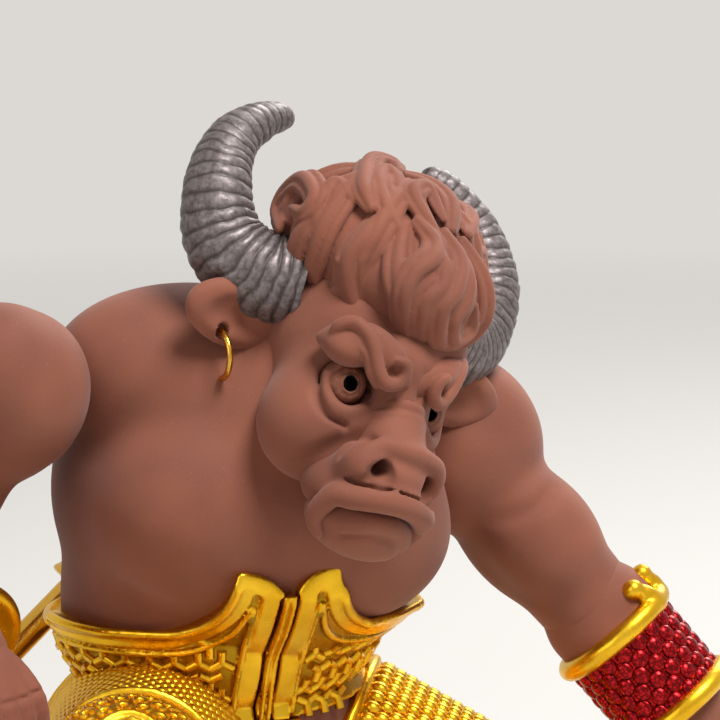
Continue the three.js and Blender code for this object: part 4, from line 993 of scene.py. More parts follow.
FRONT_LOCKS = (
    (1.5, 0.5, (-10.1, -1.5, 15.7), (-10.7, 1.5, 16.4), (-11.6, 1.1, 15), (-12.2, -0.1, 12.5),
     (-11.9, -0.1, 9.3)),
    (1.7, 0.6, (-11.8, -0.4, 13.6), (-12.5, 0.9, 10.6), (-11.4, 2, 7.4), (-9.1, 2.7, 5.2), (-7.8, 0.4, 4.7),
     (-8, -3.3, 6.8), (-8.7, -4.1, 8.6), (-9.9, -3.5, 9.5)),
    (1.8, 0.2, (-7.5, -3.8, 16), (-9, -4.5, 12.8), (-9.3, -4.3, 10), (-7.9, -4.5, 7.2), (-5.9, -5.4, 4.8),
     (-3.6, -6.6, 3.9)),
    (1.6, 0.0, (-5.5, -5.1, 15.9), (-6, -6.9, 13.3), (-6.2, -8.9, 10.9), (-5.3, -9.9, 8.6),
     (-3.5, -9.1, 5.0)),
    (1.6, 0.6, (-4.3, -5.1, 16.3), (-2.7, -7, 15), (-3.5, -9.1, 13.4), (-5, -9.6, 11.5), (-5.1, -10, 8.7),
     (-1.9, -9.2, 4.6)),
    (1.6, 0.1, (-3, -6.1, 15.3), (-2.1, -9.1, 13.9), (-2, -10.8, 11.7), (-3.1, -11, 9.6),
     (-2.1, -10.7, 6.9), (0.5, -9.2, 4.3)),
    (1.6, 0.5, (-1, -5.5, 16.3), (0.1, -8.6, 14.4), (-0.6, -11, 11.6), (-1.3, -11.4, 9.2),
     (0.4, -10.5, 6.5), (4.0, -8.6, 4.8)),
    (1.5, 0.2, (1.4, -5.8, 15.4), (1.5, -9.3, 13.6), (1.4, -10.9, 11.1), (0.8, -11.2, 8.6), (3, -10.1, 6.6),
     (5.0, -8.8, 8.2), (3.2, -9.6, 10.8)),
    (1.5, 0.6, (1.6, -5, 16), (4.4, -7, 13.4), (5.6, -7.6, 10.4), (6.2, -7, 7.6), (4.6, -7.4, 5.2)),
    (1.5, 0.1, (3.4, -3, 16.6), (6.8, -4.4, 13.6), (8.2, -4.6, 10.2), (8.6, -3.0, 6.8), (7.0, -4.4, 4.6)),
    (1.5, 0.9, (-8.7, -3.3, 15.5), (-9, -0.9, 17), (-6, 4.4, 19.3), (-3.5, 4.9, 20.5), (-4.3, 1.5, 19.7)),
    (1.5, 0.4, (-5.9, -5.6, 14.8), (-7.5, -3.4, 16.5), (-7.6, -0.7, 18.1), (-5.9, 1.8, 19.4),
     (-5.5, 0.1, 19.2), (-6, -4.2, 16.7)),
    (1.4, 0.7, (-2.4, -5.8, 16), (-4.4, -3.1, 18.1), (-3.5, -1.5, 19.1), (-2.1, -1.5, 19.2),
     (-1, -4.6, 17.3)),
    (1.6, 0.2, (0.4, -5, 17), (1.4, -1, 19), (0.6, 3, 19.9), (-2.4, 5.6, 20)),
    (1.6, 0.6, (2.6, -4, 16.6), (4.8, 0, 18), (4.8, 4.4, 18.2), (2, 7.6, 18.4)),
    (1.6, 0.2, (5, -2.6, 15.4), (8, 0.6, 15.2), (8, 5.4, 15.4), (5, 9, 16)),
    (1.6, 0.5, (7.6, -2, 12), (9.6, 1.6, 11.6), (9.4, 6.6, 11.8), (6.6, 10.4, 13)),
    (1.5, 1.2, (-12.4, 4.5, 9.5), (-12.1, 8.4, 10.8), (-11.8, 8.5, 13.1), (-11.5, 5.5, 14.9),
     (-12.1, 1.4, 14.1), (-12.6, 1.3, 12.2), (-12.8, 3.7, 12)),
)


class WARRIOR_OT_hair(WarriorTool, bpy.types.Operator):
    """Lays the hair's locks over one mass, swept from the crown to the brow and down the nape"""
    bl_idname = "warrior.hair"
    bl_label = "Hair"

    def build(self, sizes):
        clay = Clay(HEAD.origin + (-20, -22, -4), HEAD.origin + (17, 20, 27), sizes.head_grain * 0.9)
        for centre, radii in HAIR:
            clay.add(egg(HEAD, centre, np.array(radii) - 0.1), blend=2.5)
        heart = HEAD.at(-1, 1, 9)
        for k in range(13):
            turn = math.radians(-48 + 276 * k / 12)
            bend = math.radians(22 * math.sin(2.1 * k))
            points = []
            for r, z in ((0.3, 0.95), (0.75, 0.65), (1.0, 0.15), (0.98, -0.4), (0.8, -0.8)):
                way = turn + bend * r
                points.append(on_hair(-1.5 + 9.5 * r * math.cos(way), 3 + 9.5 * r * math.sin(way),
                                      11.5 + 8 * z))
            self.lock(clay, points, heart, 1.7)
        for wide, lift, *points in FRONT_LOCKS:
            self.lock(clay, [on_hair(*spot, lift) for spot in points], heart, wide)
        fired("hair_modelled", clay, "clay", ["forelock"], rounds=0)
        clay = Clay(HEAD.origin + (-16, -6, -20), HEAD.origin + (16, 24, 20), sizes.body_grain * 0.8)
        clay.add(egg(HEAD, (-1, 9, 3), (8.2, 6.2, 9.2)))
        heart = HEAD.at(-1, 6, 3)
        for k in range(8):
            x = -7.7 + 2.2 * k
            y = 15.4 - 0.075 * x * x
            path = [HEAD.at(-1 + x * f, y + back, z) for f, back, z in
                    ((0.6, -3.2, 11), (1.0, -0.6, 6), (1.12, 0.2, 1), (0.95, -1.2, -4), (0.8, -4.2, -8.6))]
            self.lock(clay, path, heart, 1.7)
        fired("mane_modelled", clay, "clay", ["mane"], rounds=0)

    def lock(self, clay, points, heart, wide):
        """One lock: a broad middle strand between two finer ones, which run together at both ends."""
        steps = 9 * (len(points) - 1)
        path = curve_through(points, steps)
        ahead = np.gradient(path, axis=0)
        out = path - heart
        out /= np.linalg.norm(out, axis=1)[:, None]
        beside = np.cross(ahead, out)
        beside /= np.linalg.norm(beside, axis=1)[:, None]
        t = np.linspace(0, 1, steps + 1)[:, None]
        full = np.clip(np.sin(math.pi * (0.1 + 0.86 * t)), 0, 1) ** 0.7
        for off, thick, lift in LOCK_STRANDS:
            line = path + beside * off * wide * full + out * lift * wide * full
            girth = wide * thick * (0.28 + 0.72 * full[:, 0])
            pegs = [peg(line[i], line[i + 1], girth[i], girth[i + 1]) for i in range(steps)]
            clay.add(pegs, blend=0.05, knit=0.05)


class WARRIOR_OT_horns(WarriorTool, bpy.types.Operator):
    """Sweeps the two ribbed horns along their curve"""
    bl_idname = "warrior.horns"
    bl_label = "Horns"

    def build(self, sizes):
        tree = horn_tree(finish_of("horn"))
        path = ((9.5, 3.5, 5), (13.5, 5.2, 4.2), (17.6, 8, 6), (19.4, 11, 11), (17.8, 14.6, 16),
                (13.6, 17.2, 19.35), (9.6, 18.7, 20.75))
        for word, side in SIDES.items():
            values = {"Base radius": sizes.horn_radius, "Tip radius": 1.45 * MM, "Ribs": sizes.horn_ribs,
                      "Rib height": 0.3 * MM, "Steps": 260, "Sides": 72, "Seed": 3.0 + side}
            grown("horn_ribbed_" + word, curve_carrier("horn_path", HEAD.along(path, side)), tree, values,
                  "figure", ["horn_" + word])


# Body
class WARRIOR_OT_trunk(WarriorTool, bpy.types.Operator):
    """Models the broad chest, the hump of the shoulders, the neck and the belly"""
    bl_idname = "warrior.trunk"
    bl_label = "Trunk"

    def build(self, sizes):
        clay = Clay(RIBS.origin - (30, 26, 21), RIBS.origin + (28, 26, 31), sizes.body_grain * BROAD)
        clay.add(egg(RIBS, (0, 0, 0), (22.5, 15.9, 19.9)))
        clay.add(egg(TRUNK, (-2.2, -2, 20), (18.7, 14.9, 14.9)), blend=4.0)
        clay.add(egg(RIBS, (-8, 6, 11.5), (18.8, 10.9, 11.4)), blend=3.0)
        clay.add(peg(RIBS.at(-1, 2, 12), HEAD.at(-1, 8, -3), 12, 11.5), blend=3.0)
        for side in SIDES.values():
            clay.add(egg(RIBS, (10 * side, -7.2, 3.5), (10.6, 8.2, 9.5)), blend=3.5)
            clay.add(egg(RIBS, (15 * side, 5, 1), (7, 9, 11.5)), blend=3.0)
            clay.add(egg(RIBS, (10.5 * side, 10.4, 3), (8, 5.6, 10)), blend=2.5)
            clay.score(RIBS.along(((3, -17.6, -6), (9, -16.6, -7.6), (16, -13, -6.5)), side), 0.3,
                       blend=4.5)
        clay.score([RIBS.at(0, 17.0, 12), RIBS.at(0, 17.0, 2), RIBS.at(0, 16, -8), RIBS.at(0, 14.4, -16)],
                   1.0, blend=4)
        clay.keep(lambda x, y, z: HIPS[2] + CHEST_FOOT - z)
        fired("chest_modelled", clay, "clay", ["chest"])
        clay = Clay(HIPS - (22, 18, 14), HIPS + (20, 18, 16), sizes.body_grain * INNER)
        clay.add(egg(TRUNK, (-1.6, 0, 4), (17.9, 14.4, 14.9)))
        clay.keep(lambda x, y, z: z - HIPS[2] - PELVIS_TOP)
        fired("pelvis_modelled", clay, "clay", ["pelvis"])


class WARRIOR_OT_arms(WarriorTool, bpy.types.Operator):
    """Models the arms, with the mass of each muscle and the creases between them"""
    bl_idname = "warrior.arms"
    bl_label = "Arms"

    def build(self, sizes):
        for word, side in SIDES.items():
            top, elbow, wrist = ARMS[word]
            upper = limb_frame(top, elbow, up=(0, -1, 0.3))
            box = np.array((top, elbow))
            clay = Clay(box.min(0) - 13, box.max(0) + 12, sizes.body_grain)
            clay.add(egg(upper, (0, 0, 1.5), (9.0, 8.8, 10.2)))
            clay.add(egg(upper, (3.6 * side, 1.5, 0), (6.4, 7.2, 8.6)), blend=1.5)
            clay.add(egg(upper, (0, 2.6, 14.5), (6.4, 5.8, 9.4)), blend=1.0)
            clay.add(egg(upper, (0, -2.4, 13.5), (6.6, 5.8, 10.4)), blend=1.0)
            clay.add(peg(upper.at(0, 0, 8), upper.at(0, 0, UPPER_ARM), 6.6, 5.8), blend=1.0)
            clay.score([upper.at(-9 * side, 3, 5), upper.at(-6 * side, 6, 9), upper.at(0, 8, 11.5),
                        upper.at(7 * side, 6, 10)], 0.3, blend=1.8)
            fired("upper_arm_modelled_" + word, clay, "clay", ["upper_arm_" + word])
            fore = limb_frame(elbow, wrist, up=(0, -1, 0.3))
            box = np.array((elbow, wrist))
            clay = Clay(box.min(0) - 10, box.max(0) + 10, sizes.body_grain)
            clay.add(peg(fore.at(0, 0, 0), fore.at(0, 0, 6), 5.6, 6.2))
            clay.add(peg(fore.at(0, 0, 6), fore.at(0, 0, FOREARM), 6.2, 5.0), blend=1.0)
            clay.add(egg(fore, (1.7 * side, 1.4, 2.4), (4.7, 4.8, 4.6)), blend=1.0)
            clay.add(egg(fore, (-1.8 * side, -0.8, 2.6), (4.6, 4.8, 4.8)), blend=1.0)
            fired("forearm_modelled_" + word, clay, "clay", ["forearm_" + word])


# A finger's points, as shares: across, along the palm, along the finger, up, and down to the tip
FINGER = ((0.7, 0.3, 0, 1.1, 0), (0.8, 0.8, 0, 1.2, 0), (1.0, 1, 0.35, 1.0, 0.2), (1.08, 1, 0.75, 0.3, 0.6),
          (1.1, 1, 0.92, 0, 1.0))


class WARRIOR_OT_hands(WarriorTool, bpy.types.Operator):
    """Models the hands, with knuckles and the skin's folds"""
    bl_idname = "warrior.hands"
    bl_label = "Hands"

    def build(self, sizes):
        for word, side, way, drop in (("left", 1, LEFT_PALM_WAY, 3.0), ("right", -1, RIGHT_PALM_WAY, 4.0)):
            wrist = ARMS[word][2]
            along = unit(way)
            across = unit(np.cross(along, (0, 0, 1)))
            hand = crossed(wrist, across, along)
            clay = Clay(hand.at(0, 6, 0) - 14, hand.at(0, 6, 0) + 14, sizes.head_grain)
            clay.add(peg(hand.at(0, -1, 0), hand.at(0, 3, 0), 4.5, 4.3))
            clay.add(egg(hand, (0, 4.6, 0.2), (5.1, 4.5, 3.3)), blend=1.5)
            for k in range(4):
                x = (k - 1.5) * 2.25 * side
                long = 7.5 * (1 - 0.12 * abs(k - 1.4))
                path = [hand.at(x * wide, 6 * palm + long * out, 1.6 * rise - drop * fall)
                        for wide, palm, out, rise, fall in FINGER]
                clay.roll(path, (1.2, 1.6, 1.55, 1.4, 1.15), 14, blend=0.45)
                for joint, high in ((3, 1.3), (2, 1.5)):
                    middle = path[joint] + hand.axes[:, 2] * high
                    fold = [middle + hand.axes[:, 0] * s for s in (-1.2, 0, 1.2)]
                    clay.score(fold, 0.12, blend=0.3)
            thumb = [hand.at(-2.8 * side, 1.5, 0), hand.at(-4.9 * side, 4.5, -0.6),
                     hand.at(-5.4 * side, 8.0, -drop / 2)]
            clay.roll(thumb, (2.0, 1.7, 1.2), blend=0.9)
            fired("hand_modelled_" + word, clay, "clay", ["hand_" + word])


class WARRIOR_OT_legs(WarriorTool, bpy.types.Operator):
    """Models the thighs and shins"""
    bl_idname = "warrior.legs"
    bl_label = "Legs"

    def build(self, sizes):
        for word in SIDES:
            hip, knee, ankle = LEGS[word]
            thigh = limb_frame(hip, knee)
            box = np.array((hip, knee))
            clay = Clay(box.min(0) - 13, box.max(0) + 11, sizes.body_grain * HIDDEN)
            clay.add(peg(hip, knee, 10.9, 7.9))
            clay.add(egg(thigh, (0, 2.0, 17), (7.6, 7.6, 14)), blend=2.0)
            fired("thigh_modelled_" + word, clay, "clay", ["thigh_" + word])
            shin = limb_frame(knee, ankle)
            box = np.array((knee, ankle))
            clay = Clay(box.min(0) - 10, box.max(0) + 10, sizes.body_grain * COVERED)
            clay.add(peg(knee, shin.at(0, 0, 10), 7.1, 7.1))
            clay.add(peg(shin.at(0, 0, 10), ankle, 7.1, 4.9), blend=1.5)
            fired("shin_modelled_" + word, clay, "clay", ["shin_" + word])


# Armour
WAIST_MIDDLE = -2.2


def trunk_forms(grow):
    return [egg(RIBS, (0, 0, 0), np.array((22.6, 16, 20)) + grow),
            egg(TRUNK, (-2.2, -2, 20), np.array((18.8, 15, 15)) + grow),
            egg(TRUNK, (-1.6, 0, 4), np.array((18, 14.5, 15)) + grow)]


def traced(forms, start, way):
    """Walks from a start along a way until it meets the forms."""
    spot, way = np.array(start, float), unit(way)
    for _ in range(80):
        gap = min(float(form[2](*spot)) for form in forms)
        spot += way * gap * 0.8
        if gap < 0.01:
            break
    return spot


def round_trunk(turn, up, grow):
    """A point on the grown trunk, turn degrees round from the front to its left."""
    out = np.array((math.sin(math.radians(turn)), -math.cos(math.radians(turn)), 0))
    middle = HIPS + (WAIST_MIDDLE, -1, up)
    return traced(trunk_forms(grow), middle + out * 45, -out)


def front_trunk(across, up, grow):
    return traced(trunk_forms(grow), HIPS + (WAIST_MIDDLE + across, -45, up), (0, 1, 0))


def back_trunk(across, up, grow):
    return traced(trunk_forms(grow), HIPS + (WAIST_MIDDLE + across, 45, up), (0, -1, 0))


def way_out(forms, spot):
    """The way out of the nearest form at a place."""
    gap = [min(float(f[2](*(spot + d))) for f in forms) for d in np.eye(3) * 0.05]
    here = min(float(f[2](*spot)) for f in forms)
    return unit(np.array(gap) - here)


def worn(inner, outer, rule):
    """A sheet over the trunk between two depths, wherever rule(across, back, up) is negative."""
    def distance(x, y, z):
        deep = np.minimum.reduce([form[2](x, y, z) for form in trunk_forms(0)])
        inside = rule(x - HIPS[0] - WAIST_MIDDLE, y - HIPS[1], z - HIPS[2])
        return shared(deep - outer, inner - deep, inside)

    return HIPS + (-28, -24, -14), HIPS + (26, 24, 34), distance


def panel_top():
    """The rim's line, up from the middle to the tip and down to the side: rows of distance and height."""
    t = np.linspace(0, 1, 24)
    lines = []
    for (x0, z0), (x1, z1), (x2, z2) in (((0.95, 24.7), (2.4, 27.2), (6.0, 27.4)),
                                         ((6.0, 27.4), (6.05, 19.9), (13.5, 19.4))):
        shares = (1 - t) ** 2, 2 * t * (1 - t), t * t
        lines.append([shares[0] * x0 + shares[1] * x1 + shares[2] * x2,
                      shares[0] * z0 + shares[1] * z1 + shares[2] * z2])
    return np.hstack([lines[0], np.array(lines[1])[:, 1:], [[60], [19.4]]])


RIM_LINE = panel_top()


def rim_gap(across, up):
    """How far a place lies above the rim's line, negative below it."""
    best = None
    for (x0, z0), (x1, z1) in zip(RIM_LINE.T, RIM_LINE.T[1:]):
        along, rise = x1 - x0, z1 - z0
        t = np.clip(((across - x0) * along + (up - z0) * rise) / (along * along + rise * rise), 0, 1)
        far = np.hypot(across - x0 - t * along, up - z0 - t * rise)
        best = far if best is None else np.minimum(best, far)
    return best * np.where(up > np.interp(across, RIM_LINE[0], RIM_LINE[1]), 1, -1)


def panel_foot(across):
    return 8 + 4 * (np.clip(across - 2.2, 0, 40) / 37.8) ** 1.5


def stamped(name, kind, spots, forms, downs, sizes, dims, slot="gilt"):
    """Stamped relief set on the forms at the spots."""
    outs = [way_out(forms, spot) for spot in spots]
    carrier = carrier_of(name, spots, outs, downs, sizes)
    tree = scale_tree("stamped_" + kind, finish_of(slot), kind)
    values = {"Width": dims[0] * MM, "Length": dims[1] * MM, "Height": dims[2] * MM}
    return grown(name, carrier, tree, values, "figure")


class WARRIOR_OT_corset(WarriorTool, bpy.types.Operator):
    """Models the corset's panels, stile and back, with their rims and stamped relief"""
    bl_idname = "warrior.corset"
    bl_label = "Corset"

    def build(self, sizes):
        forms = trunk_forms(1.05)
        for word, side in SIDES.items():
            def shape(x, y, z, side=side):
                u = x * side
                return shared(PANEL_EDGE - u, rim_gap(u, z), panel_foot(u) - z, y)

            def border(x, y, z, side=side):
                u = x * side
                return shared(shape(x, y, z, side), -2.1 - np.maximum(rim_gap(u, z), PANEL_EDGE - u))

            # the panel's ground within its rims, under the stamped stars, which takes painted shade
            def field(x, y, z, side=side):
                u = (x - HIPS[0] - WAIST_MIDDLE) * side
                return (np.maximum(rim_gap(u, z - HIPS[2]), PANEL_EDGE - u) < -2.3) & (y < HIPS[1] - 0.4)

            clay = Clay(HIPS + (-26, -24, 5), HIPS + (22, 3, 30), sizes.trim_grain)
            clay.add(worn(-0.4, 1.05, shape), blend=0.05)
            clay.add(worn(-0.4, 1.7, border), blend=0.15)
            points = [front_trunk(side * u, v - 0.35, 1.65) for u, v in RIM_LINE.T[1:44:3]]
            points += [round_trunk(side * turn, 19.05, 1.65) for turn in (58, 66, 74, 82, 89)]
            clay.roll(points, 0.55, blend=0.25)
            inner = [front_trunk(side * u, v, 1.3) for u, v in
                     ((3.6, 8.8), (3.6, 14), (3.6, 19), (3.7, 21.8), (4.0, 22.9), (4.5, 21.6), (5.3, 19.6),
                      (7.0, 18.0), (9.6, 17.1), (13, 16.8))]
            inner += [round_trunk(side * turn, 16.8, 1.3) for turn in (58, 70, 80, 88)]
            clay.roll(inner, 0.4, blend=0.15)
            fired("corset_modelled_" + word, clay, "gilt", ["corset_front_" + word], painted_shade_mask=field)
            spots, downs = [], []
            for row in range(6):
                for k in range(13):
                    turn = 15 + (k + 0.5 * (row % 2)) * 8.8
                    up = 9.3 + row * 2.15
                    spot = round_trunk(side * turn, up, 1.05)
                    u = side * (spot[0] - HIPS[0] - WAIST_MIDDLE)
                    in_front = u > 4.9 and spot[1] < HIPS[1] - 0.8
                    if in_front and up > panel_foot(u) + 0.9 and rim_gap(u, up) < -3.4:
                        spots.append(spot)
                        downs.append((0, 0, -1 if row % 2 else 1))
            stamped("corset_relief_" + word, "star", spots, forms, downs, np.ones(len(spots)),
                    (0.55, 1.5, 0))
        self.stile(sizes)
        self.back(sizes)

    def stile(self, sizes):
        clay = Clay(HIPS + (-8, -24, 5), HIPS + (4, -8, 27), sizes.trim_grain)
        clay.add(worn(-0.4, 1.5, lambda x, y, z: shared(np.abs(x) - 0.8, 8 - z, z - 24.3, y)), blend=0.05)
        for x in (-0.42, 0.42):
            clay.roll([front_trunk(x, up, 1.75) for up in (8.4, 12, 16, 20, 23.9)], 0.32, blend=0.1)
        fired("stile_modelled", clay, "gilt", ["corset_stile"])

    def back(self, sizes):
        def band(x, y, z):
            plate = np.maximum(np.abs(x) - 14, z - 29 + 7 * np.maximum(np.abs(x) / 14, 0) ** 4)
            return shared(np.minimum(z - 18.5, plate), 12 - z, -y)

        clay = Clay(HIPS + (-26, -3, 9), HIPS + (22, 24, 32), sizes.trim_grain * BROAD)
        clay.add(worn(-0.4, 1.3, band), blend=0.05)
        plate = []
        for k in range(13):
            x = 13.6 - 27.2 * k / 12
            plate.append(back_trunk(x, 28.6 - 7 * abs(x / 14) ** 4, 1.5))
        clay.roll(plate, 0.6, blend=0.3)
        for side in SIDES.values():
            clay.roll([round_trunk(side * turn, 18.2, 1.5) for turn in (92, 102, 112, 122)], 0.6, blend=0.3)
            clay.roll([back_trunk(side * 13.6, up, 1.5) for up in (12.6, 16, 19, 22)], 0.5, blend=0.3)
        clay.roll([round_trunk(turn, 12.5, 1.5) for turn in range(94, 270, 16)], 0.5, blend=0.3)
        # the staff slides along the plate, so rims and relief leave it room
        clay.cut(peg(STAFF_FOOT - 20 * unit(STAFF_WAY), STAFF_FOOT + 45 * unit(STAFF_WAY), RING_BORE),
                 blend=0.1)
        fired("corset_back_modelled", clay, "gilt", ["corset_back"])
        spots = []
        for row in range(8):
            for k in range(12):
                x, up = (k - 5.75 + 0.5 * (row % 2)) * 2.3, 14 + row * 1.95
                if abs(x) < 12.4 and up < 27.4 - 7 * abs(x / 14) ** 4:
                    spots.append(back_trunk(x, up, 1.3))
        way = unit(STAFF_WAY)
        spots = [spot for spot in spots if np.linalg.norm(np.cross(spot - STAFF_FOOT, way)) > STAFF_ROOM]
        stamped("back_relief", "star", spots, trunk_forms(1.3), [(0, 0, -1)] * len(spots),
                np.ones(len(spots)), (0.42, 1.2, 0))


def thigh_frame(word):
    """x across, y towards the knee, z up, from the hip."""
    hip, knee, _ = LEGS[word]
    along = unit(knee - hip)
    across = unit(np.cross(along, (0, 0, 1)))
    return crossed(hip, across, along)


def shin_frame(word):
    """x across, y towards the ankle, z to the front, from the knee."""
    hip, knee, ankle = LEGS[word]
    along = unit(ankle - knee)
    front = unit(unit(knee - hip) - along)
    across = unit(np.cross(along, front))
    return crossed(knee, across, along)


def shell(place, forms, inner, outer, low, high, core=None):
    """A sheet between two depths of some forms, or over a core, kept to a box of a frame."""
    ends = list(zip(low, high))
    corners = np.array([place.at(x, y, z) for x in ends[0] for y in ends[1] for z in ends[2]])

    def distance(x, y, z):
        deep = np.minimum.reduce([form[2](x, y, z) for form in forms])
        gap = (x - place.origin[0], y - place.origin[1], z - place.origin[2])
        parts = [deep - outer, inner - (core[2](x, y, z) if core else deep)]
        for k in range(3):
            v = gap[0] * place.axes[0, k] + gap[1] * place.axes[1, k] + gap[2] * place.axes[2, k]
            parts += [low[k] - v, v - high[k]]
        return shared(*parts)

    return corners.min(0), corners.max(0), distance


def shin_forms(word, grow=0.0):
    _, knee, ankle = LEGS[word]
    calf = step(knee, ankle - knee, 9.87)
    return [peg(knee, calf, 7.2 + grow, 7.2 + grow), peg(calf, ankle, 7.2 + grow, 5 + grow)]


def on_limb(place, forms, turn, y, away):
    """A point on a limb's forms, y along it and turn degrees round from its front."""
    out = place.axes @ np.array((math.sin(math.radians(turn)), 0, math.cos(math.radians(turn))))
    return traced(forms, place.at(0, y, 0) + out * away, -out)


def tasset_radius(y):
    return TASSET_HIP + (TASSET_KNEE - TASSET_HIP) * y / THIGH


class WARRIOR_OT_skirt(WarriorTool, bpy.types.Operator):
    """Models the tassets, the front flap and the back skirt, with rows of rounded scales"""
    bl_idname = "warrior.skirt"
    bl_label = "Skirt and tassets"

    def build(self, sizes):
        pitch = sizes.scale_pitch
        for word in SIDES:
            place = thigh_frame(word)
            hip, knee, _ = LEGS[word]
            wrap = [peg(hip, knee, TASSET_HIP, TASSET_KNEE)]
            sheet = shell(place, wrap, -0.3, 0.0, (-16, 2, -3), (16, 31.4, 16), core=peg(hip, knee, 11, 8))
            clay = Clay(sheet[0] - 1, sheet[1] + 1, sizes.trim_grain * COVERED)
            clay.add(sheet, blend=0.05)

            def around(turn, y):
                return on_limb(place, wrap, turn, y, 25)

            # the sheet between the rims, under the rows of scales, which takes painted shade
            def ground(x, y, z):
                gap = np.array((x - hip[0], y - hip[1], z - hip[2])).T @ place.axes
                return (gap[:, 1] > 3.6) & (gap[:, 1] < 30.2) & (gap[:, 2] > -1.9)

            for y, most, thick in ((2.7, 100, 0.75), (30.9, 105, 0.55)):
                clay.roll([around(turn, y) for turn in range(-most, most + 1, 13)], thick, blend=0.3)
            for end in (-1, 1):
                edge = []
                for y in (3, 10, 17, 24, 30.8):
                    edge.append(around(end * (90 + math.degrees(math.asin(2.5 / tasset_radius(y)))), y))
                clay.roll(edge, 0.65, blend=0.3)
            fired("tasset_modelled_" + word, clay, "gilt", ["tasset_" + word], painted_shade_mask=ground)
            spots, downs, growth = [], [], []
            widest, spread, run, row_gap = 12.9, 184, 25.8, pitch * 0.86
            count = int(math.radians(spread) * widest / pitch)
            for row in range(int(run / row_gap)):
                y = 4.6 + row * row_gap
                for k in range(count):
                    turn = (k + 0.5 * (row % 2) - (count - 0.5) / 2) * math.degrees(pitch / widest)
                    spots.append(around(turn, y))
                    downs.append(place.axes[:, 1])
                    growth.append(0.35 + 0.65 * tasset_radius(y) / widest)
            stamped("tasset_scales_" + word, "bead", spots, wrap, downs, growth,
                    (pitch * 1.02, pitch * 1.25, 1.3))
        self.flap(sizes)
        self.skirt(sizes)

    def flap(self, sizes):
        pelvis = [egg(TRUNK, (-1.6, 0, 4), (18, 14.5, 15))]
        place = Frame(HIPS + (WAIST_MIDDLE, 0, 0))
        clay = Clay(HIPS + (-10, -21, -14), HIPS + (6, -5, 10), sizes.trim_grain)
        clay.add(shell(place, pelvis, -0.3, 1.5, (-4.9, -20, -12), (4.9, -7.2, 7.8)), blend=0.05)
        clay.add(shell(place, [egg(TRUNK, (-1.6, 0, 4), (60, 40, 60))], -60, 60, (-4.9, -18, -12),
                       (4.9, -16.4, 0)), blend=0.6)
        front = [egg(TRUNK, (-1.6, 0, 4), (19.6, 16.1, 16.6))]

        def face(x, z):
            spot = traced(front, HIPS + (WAIST_MIDDLE + x, -40, z), (0, 1, 0))
            return np.array((spot[0], min(spot[1], HIPS[1] - 17.8) if z < 0 else spot[1], spot[2]))

        edge = (0.01, -11.4), (4.3, -11.4), (4.4, -6), (4.4, -1), (4.4, 4), (3.4, 6.6), (0.01, 7.4)
        for s in (-1, 1):
            clay.roll([face(s * x, z) for x, z in edge], 0.55, 30, blend=0.2)
        fired("flap_modelled", clay, "gilt", ["front_flap"])
        spots = [face((k - 1 + 0.5 * (row % 2)) * 2.3 - 0.5 * (row % 2), -9.2 + 2.0 * row)
                 for row in range(8) for k in range(3)]
        stamped("flap_relief", "star", spots, front, [(0, 0, -1)] * len(spots), np.ones(len(spots)),
                (0.4, 1.1, 0))

    def skirt(self, sizes):
        inner = egg(TRUNK, (0, 1, -5), (18.3, 16.3, 17.8))
        outer = egg(TRUNK, (0, 1, -5), (20.0, 18.0, 19.5))
        rim = egg(TRUNK, (0, 1, -5), (20.3, 18.3, 19.8))

        def wall(x, y, z):
            return shared(outer[2](x, y, z), -inner[2](x, y, z), 2 - (y - HIPS[1]), z - HIPS[2] - 12,
                          HIPS[2] - 10 - z)

        clay = Clay(HIPS + (-22, 0, -12), HIPS + (22, 21, 14), sizes.trim_grain * COVERED)
        clay.add((HIPS + (-22, 0, -12), HIPS + (22, 21, 14), wall), blend=0.05)

        def around(turn, up, forms):
            out = np.array((math.sin(math.radians(turn)), math.cos(math.radians(turn)), 0))
            return traced(forms, HIPS + (0, 1, up) + out * 40, -out)

        clay.roll([around(turn, -9.4, [rim]) for turn in range(-84, 85, 12)], 0.62, blend=0.3)
        for side in SIDES.values():
            clay.roll([around(side * 85, up, [rim]) for up in (-9.4, -4, 2, 7)], 0.6, blend=0.3)
        fired("back_skirt_modelled", clay, "gilt", ["back_skirt"])
        spots, pitch, row_gap = [], 1.9, 1.75
        for row in range(11):
            up = -7.6 + row * row_gap
            size = math.sqrt(max(1 - ((up + 5) / 19.5) ** 2, 0.1)) * 19
            count = int(math.pi * 0.93 * size / pitch)
            for k in range(count):
                turn = math.degrees((k + 0.5 * (row % 2) - (count - 0.5) / 2) * pitch / size)
                spots.append(around(turn, up, [outer]))
        stamped("skirt_scales", "bead", spots, [outer], [(0, 0, -1)] * len(spots), np.ones(len(spots)),
                (1.9, 2.3, 1.1))


